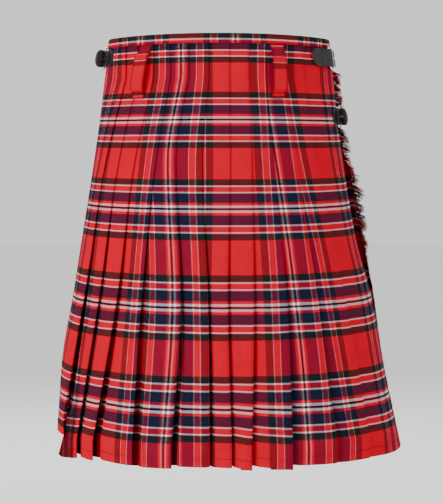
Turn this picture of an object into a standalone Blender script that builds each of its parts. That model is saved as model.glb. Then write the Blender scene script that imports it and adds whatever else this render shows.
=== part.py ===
"""A pleated tartan kilt, empty and filled out to the shape in which it is worn.

The origin is the middle of the waist at the height of the waist straps. +Z is up, the pleated back
faces +Y and the flat apron faces -Y. The wearer's right is at -X.

Every piece is placed from the same body of rings. A point is given by three sizes:
  down  how far below the top edge of the centre back it lies, straight down
  along how far round the ring it lies, from the centre back towards the wearer's right
  deep  how far inside the ring it lies, towards the wearer
"""
import math

import bpy
import numpy as np

# Whole garment
LENGTH = 0.599            # straight down from the top edge to the hem, at the centre back
STRAP_DROP = 0.0332       # from the top edge down to the middle of the waist straps
TOP_DIP = 0.0065          # how much lower the top edge is at the sides and front
HEM_RISE = 0.017          # how much higher the hem is at the front
ROUNDNESS_BACK = 2.1      # power of the rounded outline: 2 is an ellipse
ROUNDNESS_FRONT = 2.4

# Cloth and leather
CLOTH = 0.0012
CLEAR = 0.0004            # free space between folded layers
SEAM = 0.0003
LAYER = CLOTH + CLEAR
LEATHER = 0.0018
CHAPE = 0.0014

# Half sizes of the ring at each height, to the wearer's left, right, back and front
RING_COLUMNS = ("down", "left", "right", "back", "front")
RINGS = [
    (0.000, 0.156, 0.156, 0.118, 0.110),
    (0.060, 0.164, 0.164, 0.127, 0.118),
    (0.120, 0.171, 0.170, 0.148, 0.126),
    (0.200, 0.182, 0.181, 0.176, 0.133),
    (0.300, 0.197, 0.198, 0.197, 0.139),
    (0.380, 0.208, 0.219, 0.208, 0.143),
    (0.480, 0.224, 0.237, 0.214, 0.146),
    (0.599, 0.233, 0.262, 0.219, 0.149),
]

# Creased edge of each pleat: its place across the back at the four heights of PLEAT_DOWN, with the
# wearer's right positive, and how deep the fold stands open at the hem
PLEAT_DOWN = (0.061, 0.178, 0.369, 0.573)
PLEATS = [
    (-0.133, -0.161, -0.190, -0.222, 0.008),
    (-0.115, -0.142, -0.170, -0.203, 0.010),
    (-0.093, -0.119, -0.144, -0.179, 0.012),
    (-0.069, -0.089, -0.109, -0.122, 0.013),
    (-0.043, -0.061, -0.054, -0.067, 0.016),
    (-0.015, -0.024, -0.016, -0.014, 0.012),
    (0.014, 0.015, 0.012, 0.017, 0.009),
    (0.041, 0.045, 0.048, 0.045, 0.008),
    (0.066, 0.076, 0.094, 0.102, 0.011),
    (0.092, 0.109, 0.137, 0.165, 0.010),
    (0.119, 0.138, 0.178, 0.213, 0.009),
]
APRON_EDGE = 0            # the first crease is the over apron's own
FELL = 0.165              # the pleats are sewn down to here
UNDERLAY = 0.5            # hidden part of a pleat, as a share of the part that shows

# Aprons. The frayed edge of the over apron lies past the wearer's right side and stands a little
# away from the cloth beneath
UNDER_DEEP = 0.0049       # how far inside the over apron the under apron hangs
UNDER_END = 232.5         # degrees round from the centre back to the under apron's free edge
EDGE_COLUMNS = ("down", "past_side", "lift")
EDGES = [
    (0.000, 0.016, 0.000),
    (0.060, 0.016, 0.000),
    (0.165, 0.013, 0.000),
    (0.215, 0.010, 0.007),
    (0.300, 0.012, 0.008),
    (0.420, 0.020, 0.002),
    (0.599, 0.035, 0.000),
]
LIFT_REACH = 0.055
SIDE_STATIONS = np.arange(105, 290, 7.5)  # degrees round to the rows of points that both aprons share
EDGE_SHARES = (0, 0.3, 0.65)              # rows of points between the frayed edge and the first of them
SLIT = 247.5                              # degrees round to the slit for the left strap
SLIT_WIDE = 0.012
SLIT_ROW = 1                              # the row and the column of the over apron's cells that it takes
SLIT_COLUMN = len(EDGE_SHARES) + int(np.where(SIDE_STATIONS == SLIT)[0][0])
UNDER_STEP = (0.022, 0.008)   # the under apron turns inwards between these two distances from the edge
APRON_HEM_RISE = 0.024        # the over apron's corner hangs higher than the pleats

# Waistband
BAND_TALL = 0.0139

# Belt loops
LOOP_WIDE = 0.020
LOOP_THICK = 0.0016
LOOP_STAND = 0.0100
LOOP_TOP = 0.0150
LOOP_BOTTOM = 0.0905
# Name, and the middle of the top and of the bottom across the back, as for the pleats
LOOPS = [
    ("belt_loop_left", -0.102, -0.113),
    ("belt_loop_right", 0.081, 0.083),
]
# How far down a loop each bend is, and how far out it stands there
LOOP_BENDS = [(0.0, 0.0), (0.08, 0.0), (0.17, 0.75), (0.28, 1.0), (0.42, 1.06), (0.58, 1.06),
              (0.72, 1.0), (0.83, 0.75), (0.92, 0.0), (1.0, 0.0)]

# Straps, the leather tabs (chapes) that hold the buckles, and the buckles. Distances along a strap
# are from the middle of its buckle's back bar, towards the strap's tip, unless they say otherwise
STRAP_WIDE = 0.0255
HOLE_HALF = 0.0042            # half height of the prong's hole
STRAP_END = (0.42, 0.78)      # width of a strap's last two rows of points, as shares
STRAP_SHARES = (0, 0.12, 0.3, 0.6, 1.0)   # rows of points from the tip to where it comes down
STRAP_SWELL = 0.011           # half width of the place where a strap stands off the wearer's side
STRAP_DOWN = 0.025            # here the strap lies on the tab
STRAP_RISE = (0.018, 0.005)   # it rises over the tab's sewn end and is up again at the bar
STRAP_DIVE = (-0.0090, 0.0008, 0.006)      # from the buckle's middle: down past the prong to the cloth
CHAPE_WIDE = 0.0235
CHAPE_LONG = 0.045            # from the buckle's middle to the tab's rounded end
CHAPE_END = (0.45, 0.80)
CHAPE_ROWS = (0.0, 0.004, 0.010)    # rows of points from the tab's rounded end
CHAPE_LEAVES = 0.0075         # the tab leaves the cloth here to go round the bar
CHAPE_LANDS = (0.011, 0.017)  # its returning end lies on itself between these
BUCKLE_LONG = 0.0180          # between the middles of the two upright bars
BUCKLE_TALL = 0.0310
BUCKLE_CORNER = 0.003
BAR = 0.0014                  # half thickness of the wire
PRONG = 0.0009
PRONG_PAST = 0.0022           # how far the prong reaches past the front bar
LEATHER_STEP = 0.0055         # longest distance between rows of points along a strap
# Past is the buckle's place from the wearer's side, towards the front; tip and root are how far the
# strap's two ends lie from the buckle; tip_lift is how far the tip stands off, more than the strap
# at the bar, and 0 where it lies down; swell is how far the strap stands off at the wearer's side
STRAP_COLUMNS = ("name", "side", "down", "past", "tip", "tip_lift", "root", "swell")
STRAPS = [
    ("waist_right", 1, 0.0288, -0.030, 0.042, 0.0000, 0.093, 0.004),
    ("hip_right", 1, 0.1150, -0.004, 0.026, 0.0095, 0.075, 0.000),
    ("waist_left", -1, 0.0288, -0.002, 0.026, 0.0135, 0.085, 0.000),
]

# Fringe
FRINGE_FROM, FRINGE_TO = 0.056, 0.556
STRAND_WIDE = 0.0013
STRAND_PITCH = 0.0025
STRAND_LONG = (0.011, 0.018)
STRAND_SPLAY = (28, 66)       # degrees out from the cloth
STRIP_WIDE = 0.0028
STRIP_BLOCK = 16              # divisions of the frayed edge beside each division of the sewn edge
STRAP_SPACE = 0.020           # no strands this near the middle of the hip strap

# Heights at which the cloth has rows of points
ROWS = (0.0018, 0.0152, 0.0440, 0.080, 0.120, 0.165, 0.215, 0.275, 0.345, 0.420, 0.505, 0.599)


def column(table, names, name):
    """One named column of a table of rows."""
    place = names.index(name)
    return [row[place] for row in table]


def smooth(at, xs, ys):
    """A curve through the points, cubic between them, with no overshoot at level stretches."""
    xs, ys = np.asarray(xs, float), np.asarray(ys, float)
    step = np.diff(ys) / np.diff(xs)
    slope = np.concatenate([[step[0]], (step[1:] + step[:-1]) / 2, [step[-1]]])
    level = np.concatenate([[False], step[1:] * step[:-1] <= 0, [False]])
    slope[level] = 0
    at = min(max(at, xs[0]), xs[-1])
    k = min(int(np.searchsorted(xs, at, side="right")) - 1, len(xs) - 2)
    wide = xs[k + 1] - xs[k]
    t = (at - xs[k]) / wide
    start = (2 * t**3 - 3 * t**2 + 1) * ys[k] + (t**3 - 2 * t**2 + t) * wide * slope[k]
    end = (3 * t**2 - 2 * t**3) * ys[k + 1] + (t**3 - t**2) * wide * slope[k + 1]
    return float(start + end)


def ease(t):
    """0 before 0, 1 after 1 and a soft rise between."""
    t = min(max(t, 0.0), 1.0)
    return t * t * (3 - 2 * t)


class Ring:
    """The outline at one height, measured along its length from the centre back."""

    known = {}

    def __init__(self, down):
        half = {name: smooth(down, column(RINGS, RING_COLUMNS, "down"),
                             column(RINGS, RING_COLUMNS, name))
                for name in RING_COLUMNS[1:]}
        self.down = down
        self.half = half
        self.turn = np.linspace(-2 * math.pi, 2 * math.pi, 2881)
        across, back = np.sin(self.turn), np.cos(self.turn)
        power = np.where(back > 0, 2 / ROUNDNESS_BACK, 2 / ROUNDNESS_FRONT)
        wide = np.where(across > 0, half["right"], half["left"])
        deep = np.where(back > 0, half["back"], half["front"])
        self.x = -wide * np.sign(across) * np.abs(across) ** power
        self.y = deep * np.sign(back) * np.abs(back) ** power
        step = np.hypot(np.diff(self.x), np.diff(self.y))
        total = np.concatenate([[0], np.cumsum(step)])
        self.along = total - total[len(total) // 2]
        self.length = float(total[-1] / 2)

    @classmethod
    def at(cls, down):
        key = round(down, 6)
        if key not in cls.known:
            cls.known[key] = cls(down)
        return cls.known[key]

    def turned(self, degrees):
        """How far along lies the point at this angle from the centre back."""
        return float(np.interp(math.radians(degrees), self.turn, self.along))

    def across(self, right):
        """How far along lies the point of the back that is seen this far to the wearer's right."""
        half = self.half["right"] if right > 0 else self.half["left"]
        share = min(abs(right) / half, 0.999)
        angle = math.asin(share ** (ROUNDNESS_BACK / 2))
        return self.turned(math.degrees(math.copysign(angle, right)))

    def point(self, along, deep):
        """The point in space."""
        x, y = np.interp(along, self.along, self.x), np.interp(along, self.along, self.y)
        reach = 0.002
        dx = np.interp(along + reach, self.along, self.x) - np.interp(along - reach, self.along, self.x)
        dy = np.interp(along + reach, self.along, self.y) - np.interp(along - reach, self.along, self.y)
        size = math.hypot(dx, dy)
        x, y = x - deep * dy / size, y + deep * dx / size
        share = self.down / LENGTH
        back = self.half["back"]
        rise = HEM_RISE * share * (back - y) / (back + self.half["front"])
        dip = TOP_DIP * (1 - share) ** 3 * (1 - max(y / back, 0.0) ** 2)
        return (x, y, STRAP_DROP - self.down + rise - dip)


def fringe_edge(down):
    """Where the over apron's frayed edge lies."""
    ring = Ring.at(down)
    past = smooth(down, column(EDGES, EDGE_COLUMNS, "down"), column(EDGES, EDGE_COLUMNS, "past_side"))
    return ring.turned(90) + past


def fringe_lift(down):
    """How far the frayed edge stands away."""
    return smooth(down, column(EDGES, EDGE_COLUMNS, "down"), column(EDGES, EDGE_COLUMNS, "lift"))


def crease(number, down):
    """Where the creased edge of a pleat lies."""
    return Ring.at(down).across(smooth(down, PLEAT_DOWN, PLEATS[number][:4]))


def stand(number, down):
    """How far the next panel lies below the creased edge of a pleat."""
    flat = 2 * LAYER
    return flat + (PLEATS[number][4] - flat) * ease((down - FELL) / (LENGTH - FELL))


def inner_fold(number, down):
    """Where the hidden fold of a pleat lies."""
    if number == APRON_EDGE:
        shown = crease(1, down) - crease(0, down)
    else:
        shown = crease(number, down) - crease(number - 1, down)
    return crease(number, down) - UNDERLAY * shown


def panel_depth(number, down, share):
    """Depth of a pleat's visible panel: it dips under the crease before it and levels out."""
    if number == APRON_EDGE:
        return 0.0
    return stand(number - 1, down) * (1 - share) ** 2


def pleat_line(number, down):
    """One pleat: up from the hidden fold, across the panel, round the crease and back under."""
    before, here = crease(number - 1, down), crease(number, down)
    fold_before, fold = inner_fold(number - 1, down), inner_fold(number, down)
    open_before, open_here = stand(number - 1, down), stand(number, down)
    hidden = panel_depth(number - 1, down, 1 - UNDERLAY)
    line = [(fold_before, hidden + open_before), (before, open_before)]
    for share in (0.2, 1 - UNDERLAY, 1.0):
        line.append((before + share * (here - before), panel_depth(number, down, share)))
    line.append((here, LAYER))
    line.append((fold, panel_depth(number, down, 1 - UNDERLAY) + open_here - LAYER))
    return line


def pleats_line(first, last, down):
    """Several pleats in a row, as one length of cloth."""
    line = []
    for number in range(first, last + 1):
        line += pleat_line(number, down)
    return line


def thickened(line, thick):
    """The two sides of a folded line of cloth, mitred at its corners."""
    line = np.array(line)
    step = np.diff(line, axis=0)
    step /= np.linalg.norm(step, axis=1)[:, None]
    normal = np.column_stack([step[:, 1], -step[:, 0]])
    first = np.vstack([normal[:1], normal])
    second = np.vstack([normal, normal[-1:]])
    share = 1 + (first * second).sum(1)
    offset = (first + second) / share[:, None] * (thick / 2)
    return line + offset, line - offset


def finish(name, verts, faces, material):
    """Makes an object, with its faces turned outwards."""
    mesh = bpy.data.meshes.new(name)
    mesh.from_pydata([tuple(map(float, v)) for v in verts], [], faces)
    mesh.update()
    mesh.calc_loop_triangles()
    volume = 0.0
    for triangle in mesh.loop_triangles:
        a, b, c = (mesh.vertices[i].co for i in triangle.vertices)
        volume += a.dot(b.cross(c)) / 6
    if volume < 0:
        mesh.flip_normals()
    mesh.materials.append(material)
    item = bpy.data.objects.new(name, mesh)
    bpy.context.scene.collection.objects.link(item)
    return item


def slab(name, outer, inner, material, keep=None, backward=None):
    """A wall between two grids of points. Cells that keep leaves out are cut right through. Every
    cell is parted from its upper corner nearer the start of the ring, so that folded layers lie
    alike; backward tells the columns that run towards the start."""
    rows, columns = len(outer), len(outer[0])
    kept = [(r, c) for r in range(rows - 1) for c in range(columns - 1) if keep is None or keep(r, c)]
    verts, number = [], {}

    def vertex(side, r, c):
        if (side, r, c) not in number:
            number[side, r, c] = len(verts)
            verts.append((outer if side else inner)[r][c])
        return number[side, r, c]

    faces, edges = [], set()
    for r, c in kept:
        corners = [(r, c), (r, c + 1), (r + 1, c + 1), (r + 1, c)]
        edges.update(zip(corners, corners[1:] + corners[:1]))
        first = 1 if backward is not None and backward[c] else 0
        a, b, d, e = corners[first:] + corners[:first]
        for triangle in ((a, b, d), (a, d, e)):
            faces.append([vertex(1, *p) for p in triangle])
            faces.append([vertex(0, *p) for p in reversed(triangle)])
    for a, b in edges:
        if (b, a) not in edges:
            faces.append([vertex(1, *b), vertex(1, *a), vertex(0, *a), vertex(0, *b)])
    return finish(name, verts, faces, material)


def cloth(name, line_at, material, hem_at=None, rows=ROWS, keep=None, thick=CLOTH):
    """A cloth wall with one folded line for each row. hem_at gives the height of the hem at each
    share of the way along the line, where it isn't level."""
    outer, inner = [], []
    for down in rows:
        sides = thickened(line_at(down), thick)
        count = len(sides[0])
        rings = [Ring.at(down)] * count
        if hem_at and down == rows[-1]:
            downs = [hem_at(k / (count - 1)) for k in range(count)]
            rings = [Ring.at(d) for d in downs]
            lines = {d: thickened(line_at(d), thick) for d in set(downs)}
            sides = [[lines[d][side][k] for k, d in enumerate(downs)] for side in (0, 1)]
        for grid, side in zip((outer, inner), sides):
            grid.append([ring.point(a, d) for ring, (a, d) in zip(rings, side)])
    middle = line_at(rows[len(rows) // 2])
    backward = [b[0] < a[0] for a, b in zip(middle, middle[1:])]
    return slab(name, outer, inner, material, keep, backward)


def on_cloth(level, place):
    """A point that lies with the cloth, which runs straight from row to row. place gives the
    point at a row's height."""
    row = max(k for k, down in enumerate(ROWS[:-1]) if down <= level or k == 0)
    above, below = ROWS[row], ROWS[row + 1]
    share = (level - above) / (below - above)
    return (1 - share) * np.array(place(above)) + share * np.array(place(below))


def over_apron_depth(down, along):
    """The over apron hangs on the ring, but its frayed edge stands a little away."""
    near = 1 - (along - fringe_edge(down) + Ring.at(down).length) / LIFT_REACH
    return -fringe_lift(down) * max(near, 0.0) ** 2


def over_apron_line(down):
    """From the frayed edge across the front to the creased edge, and back under it."""
    ring = Ring.at(down)
    start, end = fringe_edge(down) - ring.length, crease(APRON_EDGE, down)
    turns = [ring.turned(degrees - 360) for degrees in SIDE_STATIONS]
    places = [start + share * (turns[0] - start) for share in EDGE_SHARES] + turns
    places += [turns[-1] + share * (end - turns[-1]) for share in (0.25, 0.5, 0.75, 1.0)]
    places.append(ring.turned(SLIT - 360) + SLIT_WIDE)
    line = [(a, over_apron_depth(down, a)) for a in sorted(places)]
    line.append((end, LAYER))
    line.append((inner_fold(APRON_EDGE, down), stand(APRON_EDGE, down) - LAYER))
    return line


def over_apron_hem(share):
    """The hem of the over apron hangs higher towards its creased edge."""
    return round(LENGTH - APRON_HEM_RISE * ease((share - 0.35) / 0.4), 4)


def under_apron_line(down):
    """From the last pleat's hidden fold, round the right side and inside the over apron."""
    ring = Ring.at(down)
    last = len(PLEATS) - 1
    edge = fringe_edge(down)
    fold, here = inner_fold(last, down), crease(last, down)
    opening = stand(last, down)
    flat = edge - UNDER_STEP[0]
    line = [(fold, panel_depth(last, down, 1 - UNDERLAY) + opening), (here, opening)]
    for share in (0.12, 0.28, 0.5, 0.75, 1.0):
        line.append((here + share * (flat - here), opening * max(1 - share / 0.5, 0) ** 2))
    line.append((edge - UNDER_STEP[1], UNDER_DEEP))
    for degrees in SIDE_STATIONS[SIDE_STATIONS <= UNDER_END]:
        line.append((ring.turned(degrees), UNDER_DEEP))
    return line


def layers_at(along, down, inside):
    """Outermost and innermost depth of the cloth under the waistband."""
    last = len(PLEATS) - 1
    edge = fringe_edge(down)
    if inside:
        deep = 1.35 * stand(last, down)
        lows = [(edge - UNDER_STEP[0], 0.0), (edge - UNDER_STEP[1], UNDER_DEEP)]
        highs = [(crease(last, down) + 0.002, deep), (edge - UNDER_STEP[0], deep),
                 (edge - UNDER_STEP[1], UNDER_DEEP)]
        low = np.interp(along, *zip(*lows))
        return float(low), float(np.interp(along, *zip(*highs)))
    deep = 1.35 * stand(APRON_EDGE, down)
    fold = inner_fold(APRON_EDGE, down)
    return 0.0, float(np.interp(along, (fold - 0.024, fold - 0.012), (0.0, deep)))


def band_places(down):
    """The waistband's stations, each over a row of points of the cloth below it."""
    places = [a for a, _ in under_apron_line(down)[:0:-1]]
    for number in range(len(PLEATS) - 1, 0, -1):
        before, here = crease(number - 1, down), crease(number, down)
        places += [here - UNDERLAY * (here - before), before]
    return places + [a for a, _ in over_apron_line(down)[-4::-1]]


def waistband(material):
    """A strip folded over the top edge, from the under apron's free edge round the back and on
    across the front to the over apron's frayed edge."""
    levels = (0.0, CLOTH, BAND_TALL)
    places = [band_places(down) for down in levels]
    verts, size = [], 8
    count = len(places[0]) - 1
    for k in range(count + 1):
        at = []
        for down, row in zip(levels, places):
            low, high = layers_at(row[k], down, row[k] > 0)
            at.append((Ring.at(down), row[k], low - CLOTH / 2 - SEAM, high + CLOTH / 2 + SEAM))
        top, under, lower = at
        for (ring, along, out, into), side, thick in (
            (lower, 0, CLOTH), (top, 0, CLOTH), (top, 1, CLOTH), (lower, 1, CLOTH),
            (lower, 1, 0), (under, 1, 0), (under, 0, 0), (lower, 0, 0),
        ):
            verts.append(ring.point(along, into + thick if side else out - thick))
    faces = [[0, 1, 6, 7], [1, 2, 5, 6], [2, 3, 4, 5]]
    shift = count * size
    faces += [[shift + i for i in reversed(face)] for face in faces]
    for k in range(count):
        for i in range(size):
            j = (i + 1) % size
            faces.append([k * size + j, k * size + i, (k + 1) * size + i, (k + 1) * size + j])
    return finish("waistband", verts, faces, material)


def belt_loop(name, top, bottom, material):
    """A folded strip, sewn down at both ends and standing off the cloth between them."""
    outer, inner = [], []
    foot = CLOTH / 2 + SEAM + LOOP_THICK / 2
    for share, out in LOOP_BENDS:
        middle = top + share * (bottom - top)
        deep = -foot - out * (LOOP_STAND - foot)

        def place(down):
            ring = Ring.at(down)
            return ring.point(ring.across(middle) + wide * LOOP_WIDE / 2, deep + side * LOOP_THICK / 2)
        for grid, side in ((outer, -1), (inner, 1)):
            points = []
            for wide in (-1, 0, 1):
                points.append(on_cloth(LOOP_TOP + share * (LOOP_BOTTOM - LOOP_TOP), place))
            grid.append(points)
    return slab(name, outer, inner, material)


class Fastening:
    """Places the pieces of one strap and its buckle. Each point is given by its distance from the
    buckle's middle towards the front, its height above the strap's middle and its depth."""

    def __init__(self, side, down, past):
        self.side = side
        self.down = down
        self.past = past

    def point(self, ahead, up, deep):
        def place(down):
            ring = Ring.at(down)
            return ring.point(ring.turned(90 * self.side) + self.side * (self.past + ahead), deep)
        return on_cloth(self.down - up, place)

    def strip(self, name, line, thick, widths, hole, material):
        """A strip of leather along the line, with a hole of some of its columns."""
        sides = thickened(line, thick)
        grids = []
        for side in sides:
            rows = []
            for share in (-1, -HOLE_HALF / STRAP_WIDE, HOLE_HALF / STRAP_WIDE, 1):
                rows.append([self.point(ahead, share * wide / 2, deep)
                             for (ahead, deep), wide in zip(side, widths)])
            grids.append(rows)
        return slab(name, *grids, material, keep=lambda r, c: r != 1 or c not in hole)

    def tube(self, name, path, radius, closed, material):
        """A six-sided wire along the path."""
        points = np.array([self.point(*p) for p in path])
        count, sides = len(points), 6
        verts = []
        for k, here in enumerate(points):
            before = points[k - 1] if closed or k else here
            after = points[(k + 1) % count] if closed or k < count - 1 else here
            ahead = (after - before) / np.linalg.norm(after - before)
            across = np.cross(ahead, (0.31, 0.87, 0.38)) if not closed else np.cross(ahead, self.outward())
            across /= np.linalg.norm(across)
            other = np.cross(ahead, across)
            for i in range(sides):
                turn = 2 * math.pi * i / sides
                verts.append(here + radius * (math.cos(turn) * across + math.sin(turn) * other))
        faces = []
        for k in range(count if closed else count - 1):
            for i in range(sides):
                j = (i + 1) % sides
                n = (k + 1) % count
                faces.append([k * sides + i, k * sides + j, n * sides + j, n * sides + i])
        if not closed:
            faces += [list(range(sides))[::-1], [(count - 1) * sides + i for i in range(sides)]]
        return finish(name, verts, faces, material)

    def outward(self):
        away = np.array(self.point(0, 0, -0.01)) - np.array(self.point(0, 0, 0))
        return away / np.linalg.norm(away)


def fastening(name, side, down, past, tip, tip_lift, root, swell, leather, metal):
    """A strap through its buckle: it comes from the front, passes under the front bar and over the
    back bar, which a leather tab holds, and ends in a rounded tip."""
    place = Fastening(side, down, past)
    rest = CLOTH / 2 + SEAM                       # the lowest that anything lies on the cloth
    back, front = -BUCKLE_LONG / 2, BUCKLE_LONG / 2
    low = -(rest + LEATHER / 2)
    bar = -(rest + LEATHER + SEAM + BAR)
    wrap = BAR + SEAM + CHAPE / 2
    over = bar - wrap - CHAPE / 2 - SEAM - LEATHER / 2 - 2 * SEAM
    flap = -(rest + CHAPE / 2)
    tail = flap - CHAPE - SEAM

    # The tab: along the cloth, round the back bar and back to be sewn down on itself
    line = [(row - CHAPE_LONG, flap) for row in CHAPE_ROWS]
    line += [(back - STRAP_RISE[0], flap), (back - CHAPE_LEAVES, flap), (back, bar + wrap)]
    for degrees in (45, 90, 135, 180):
        turn = math.radians(degrees)
        line.append((back + wrap * math.sin(turn), bar + wrap * math.cos(turn)))
    line += [(back - CHAPE_LEAVES, (bar + tail) / 2)] + [(back - lands, tail) for lands in CHAPE_LANDS]
    widths = [CHAPE_WIDE * w for w in CHAPE_END] + [CHAPE_WIDE] * (len(line) - len(CHAPE_END))
    place.strip("chape_" + name, line, CHAPE, widths, range(5, 10), leather)

    # The strap
    end = back - tip
    laid = flap - CHAPE / 2 - SEAM - LEATHER / 2
    bend = back - STRAP_DOWN
    if tip_lift:
        bend = back - STRAP_RISE[1]
        line = [(end + share * (bend - end), over - tip_lift * (1 - share) ** 2) for share in STRAP_SHARES]
    else:
        line = [(end + share * (bend - end), laid) for share in STRAP_SHARES]
        line += [(back - STRAP_RISE[0], laid - CHAPE - 2 * SEAM), (back - STRAP_RISE[1], over)]
    hole = len(line)
    line += [(STRAP_DIVE[0], over), (STRAP_DIVE[1], low + (over - low) * 0.34), (STRAP_DIVE[2], low)]
    if side > 0:
        for ahead in np.arange(STRAP_DIVE[2] + LEATHER_STEP, root, LEATHER_STEP):
            line.append((ahead, low - swell * math.exp(-((ahead + past) / STRAP_SWELL) ** 2)))
    else:
        ring = Ring.at(down)
        far = ring.turned(-90) - ring.turned(SLIT - 360) - past
        near = far - SLIT_WIDE
        inner = UNDER_DEEP - CLOTH / 2 - SEAM - LEATHER / 2
        line += [(ahead, low) for ahead in np.arange(STRAP_DIVE[2] + LEATHER_STEP, near, LEATHER_STEP)]
        line += [(near + SEAM, low), (far - SEAM, -low), (far + LEATHER_STEP / 2, inner)]
        line += [(ahead, inner) for ahead in np.arange(far + 1.5 * LEATHER_STEP, root, LEATHER_STEP)]
    widths = [STRAP_WIDE * w for w in STRAP_END] + [STRAP_WIDE] * (len(line) - len(STRAP_END))
    place.strip("strap_" + name, line, LEATHER, widths, (hole,), leather)

    # The frame and the prong
    half, corner = BUCKLE_TALL / 2, BUCKLE_CORNER
    frame = [(back, -half + corner), (back + corner, -half), (front - corner, -half),
             (front, -half + corner), (front, half - corner), (front - corner, half),
             (back + corner, half), (back, half - corner)]
    place.tube("buckle_" + name, [(ahead, up, bar) for ahead, up in frame], BAR, True, metal)
    reach = BAR + SEAM + PRONG
    prong = [(back - reach, 0, bar), (back - 0.75 * reach, 0, bar - 0.75 * reach),
             (back, 0, bar - reach), (front + PRONG_PAST, 0, bar - reach)]
    place.tube("prong_" + name, prong, PRONG, False, metal)


def apron_fringe(material):
    """Strands that end in points, on a narrow strip beside the over apron's frayed edge."""
    random = np.random.default_rng(5)
    levels, strands = [], []
    down = FRINGE_FROM
    hip = STRAPS[1][STRAP_COLUMNS.index("down")]
    while down + STRAND_PITCH < FRINGE_TO:
        if abs(down - hip) > STRAP_SPACE:
            strands.append(len(levels))
        levels += [down, down + STRAND_WIDE]
        down += STRAND_PITCH
    levels = levels[:(len(levels) - 1) // STRIP_BLOCK * STRIP_BLOCK + 1]
    strands = [k for k in strands if k + 1 < len(levels)]

    def at(level, along, deep):
        return on_cloth(level, lambda down: Ring.at(down).point(
            fringe_edge(down) - SEAM + along, deep - fringe_lift(down)))

    sewn = levels[::STRIP_BLOCK]
    verts = [at(level, -STRIP_WIDE, side * CLOTH / 2) for level in levels for side in (-1, 1)]
    start = len(verts)
    verts += [at(level, 0.0, side * CLOTH / 2) for level in sewn for side in (-1, 1)]
    faces = [[0, 1, start + 1, start]]
    end, last = 2 * (len(levels) - 1), start + 2 * (len(sewn) - 1)
    faces.append([end + 1, end, last, last + 1])
    for k in range(len(sewn) - 1):
        a, b = start + 2 * k, start + 2 * k + 2
        faces.append([a, a + 1, b + 1, b])
        for side in (0, 1):
            fan = []
            for i in range(STRIP_BLOCK):
                free = 2 * (k * STRIP_BLOCK + i) + side
                fan.append([a + side if i < STRIP_BLOCK // 2 else b + side, free + 2, free])
            free = 2 * (k * STRIP_BLOCK + STRIP_BLOCK // 2) + side
            fan.append([a + side, b + side, free])
            faces += fan if side == 0 else [face[::-1] for face in fan]
    for k in range(len(levels) - 1):
        root = [2 * k, 2 * k + 2, 2 * k + 3, 2 * k + 1]
        if k not in strands:
            faces.append(root)
            continue
        long = random.uniform(*STRAND_LONG)
        splay = math.radians(random.uniform(*STRAND_SPLAY))
        droop = 0.22 * long
        level = levels[k] + STRAND_WIDE / 2
        verts.append(at(level + droop, -STRIP_WIDE - long * math.cos(splay), -long * math.sin(splay)))
        faces += [[a, b, len(verts) - 1] for a, b in zip(root, root[1:] + root[:1])]
    return finish("apron_fringe", verts, faces, material)


def paint(name, colour, rough, metallic):
    """A plain material."""
    material = bpy.data.materials.new(name)
    material.use_nodes = True
    shader = material.node_tree.nodes["Principled BSDF"]
    shader.inputs["Base Color"].default_value = (*colour, 1.0)
    shader.inputs["Roughness"].default_value = rough
    shader.inputs["Metallic"].default_value = metallic
    return material


def main():
    for item in list(bpy.data.objects):
        bpy.data.objects.remove(item, do_unlink=True)
    half = len(PLEATS) // 2
    wool = {name: paint(name + " cloth", colour, 0.85, 0.0) for name, colour in (
        ("red", (0.62, 0.02, 0.03)), ("deep red", (0.45, 0.02, 0.03)), ("dark red", (0.30, 0.01, 0.02)))}
    leather = paint("black leather", (0.02, 0.02, 0.02), 0.5, 0.0)
    metal = paint("nickel", (0.72, 0.72, 0.70), 0.3, 1.0)
    cloth("pleated_back_left", lambda down: pleats_line(1, half, down), wool["red"])
    cloth("pleated_back_right", lambda down: pleats_line(half + 1, len(PLEATS) - 1, down), wool["red"])
    cloth("over_apron", over_apron_line, wool["deep red"], over_apron_hem,
          keep=lambda r, c: (r, c) != (SLIT_ROW, SLIT_COLUMN))
    cloth("under_apron", under_apron_line, wool["deep red"])
    waistband(wool["dark red"])
    apron_fringe(wool["dark red"])
    for name, top, bottom in LOOPS:
        belt_loop(name, top, bottom, wool["red"])
    for row in STRAPS:
        fastening(*row, leather, metal)


main()
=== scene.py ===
"""The finished look of a pleated tartan kilt, empty and filled out to the shape in which it is worn.

Every cloth surface is a function of two parameters. One runs down the garment, and the other runs
along a folded line of cloth round it. A place is given by three sizes, as in the part's own source:
  down  how far below the top edge of the centre back it lies, straight down
  along how far round the ring of that height it lies, from the centre back to the wearer's right
  deep  how far inside the ring it lies, towards the wearer
"""
import math

import bpy
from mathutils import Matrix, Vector
import numpy as np


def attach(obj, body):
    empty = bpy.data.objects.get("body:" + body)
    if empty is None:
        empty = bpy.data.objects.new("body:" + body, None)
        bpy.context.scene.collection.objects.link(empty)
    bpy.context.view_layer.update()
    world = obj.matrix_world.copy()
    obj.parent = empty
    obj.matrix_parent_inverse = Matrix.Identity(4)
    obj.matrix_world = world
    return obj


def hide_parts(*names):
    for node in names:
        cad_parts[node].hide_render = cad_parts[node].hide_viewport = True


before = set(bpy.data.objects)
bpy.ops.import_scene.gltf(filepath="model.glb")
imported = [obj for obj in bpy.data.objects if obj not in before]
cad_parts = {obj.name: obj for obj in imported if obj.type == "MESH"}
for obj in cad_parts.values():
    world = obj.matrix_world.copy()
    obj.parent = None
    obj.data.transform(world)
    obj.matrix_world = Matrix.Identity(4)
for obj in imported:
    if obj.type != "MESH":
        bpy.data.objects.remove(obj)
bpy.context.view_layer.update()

# ---------------------------------------------------------------- sizes shared with the part
LENGTH = 0.599
STRAP_DROP = 0.0332
TOP_DIP = 0.0065
HEM_RISE = 0.017
ROUND_BACK, ROUND_FRONT = 2.1, 2.4
SLOPE_REACH = 0.002           # a ring's direction is taken between points this far to both sides
CLOTH = 0.0012
SEAM = 0.0003
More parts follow.
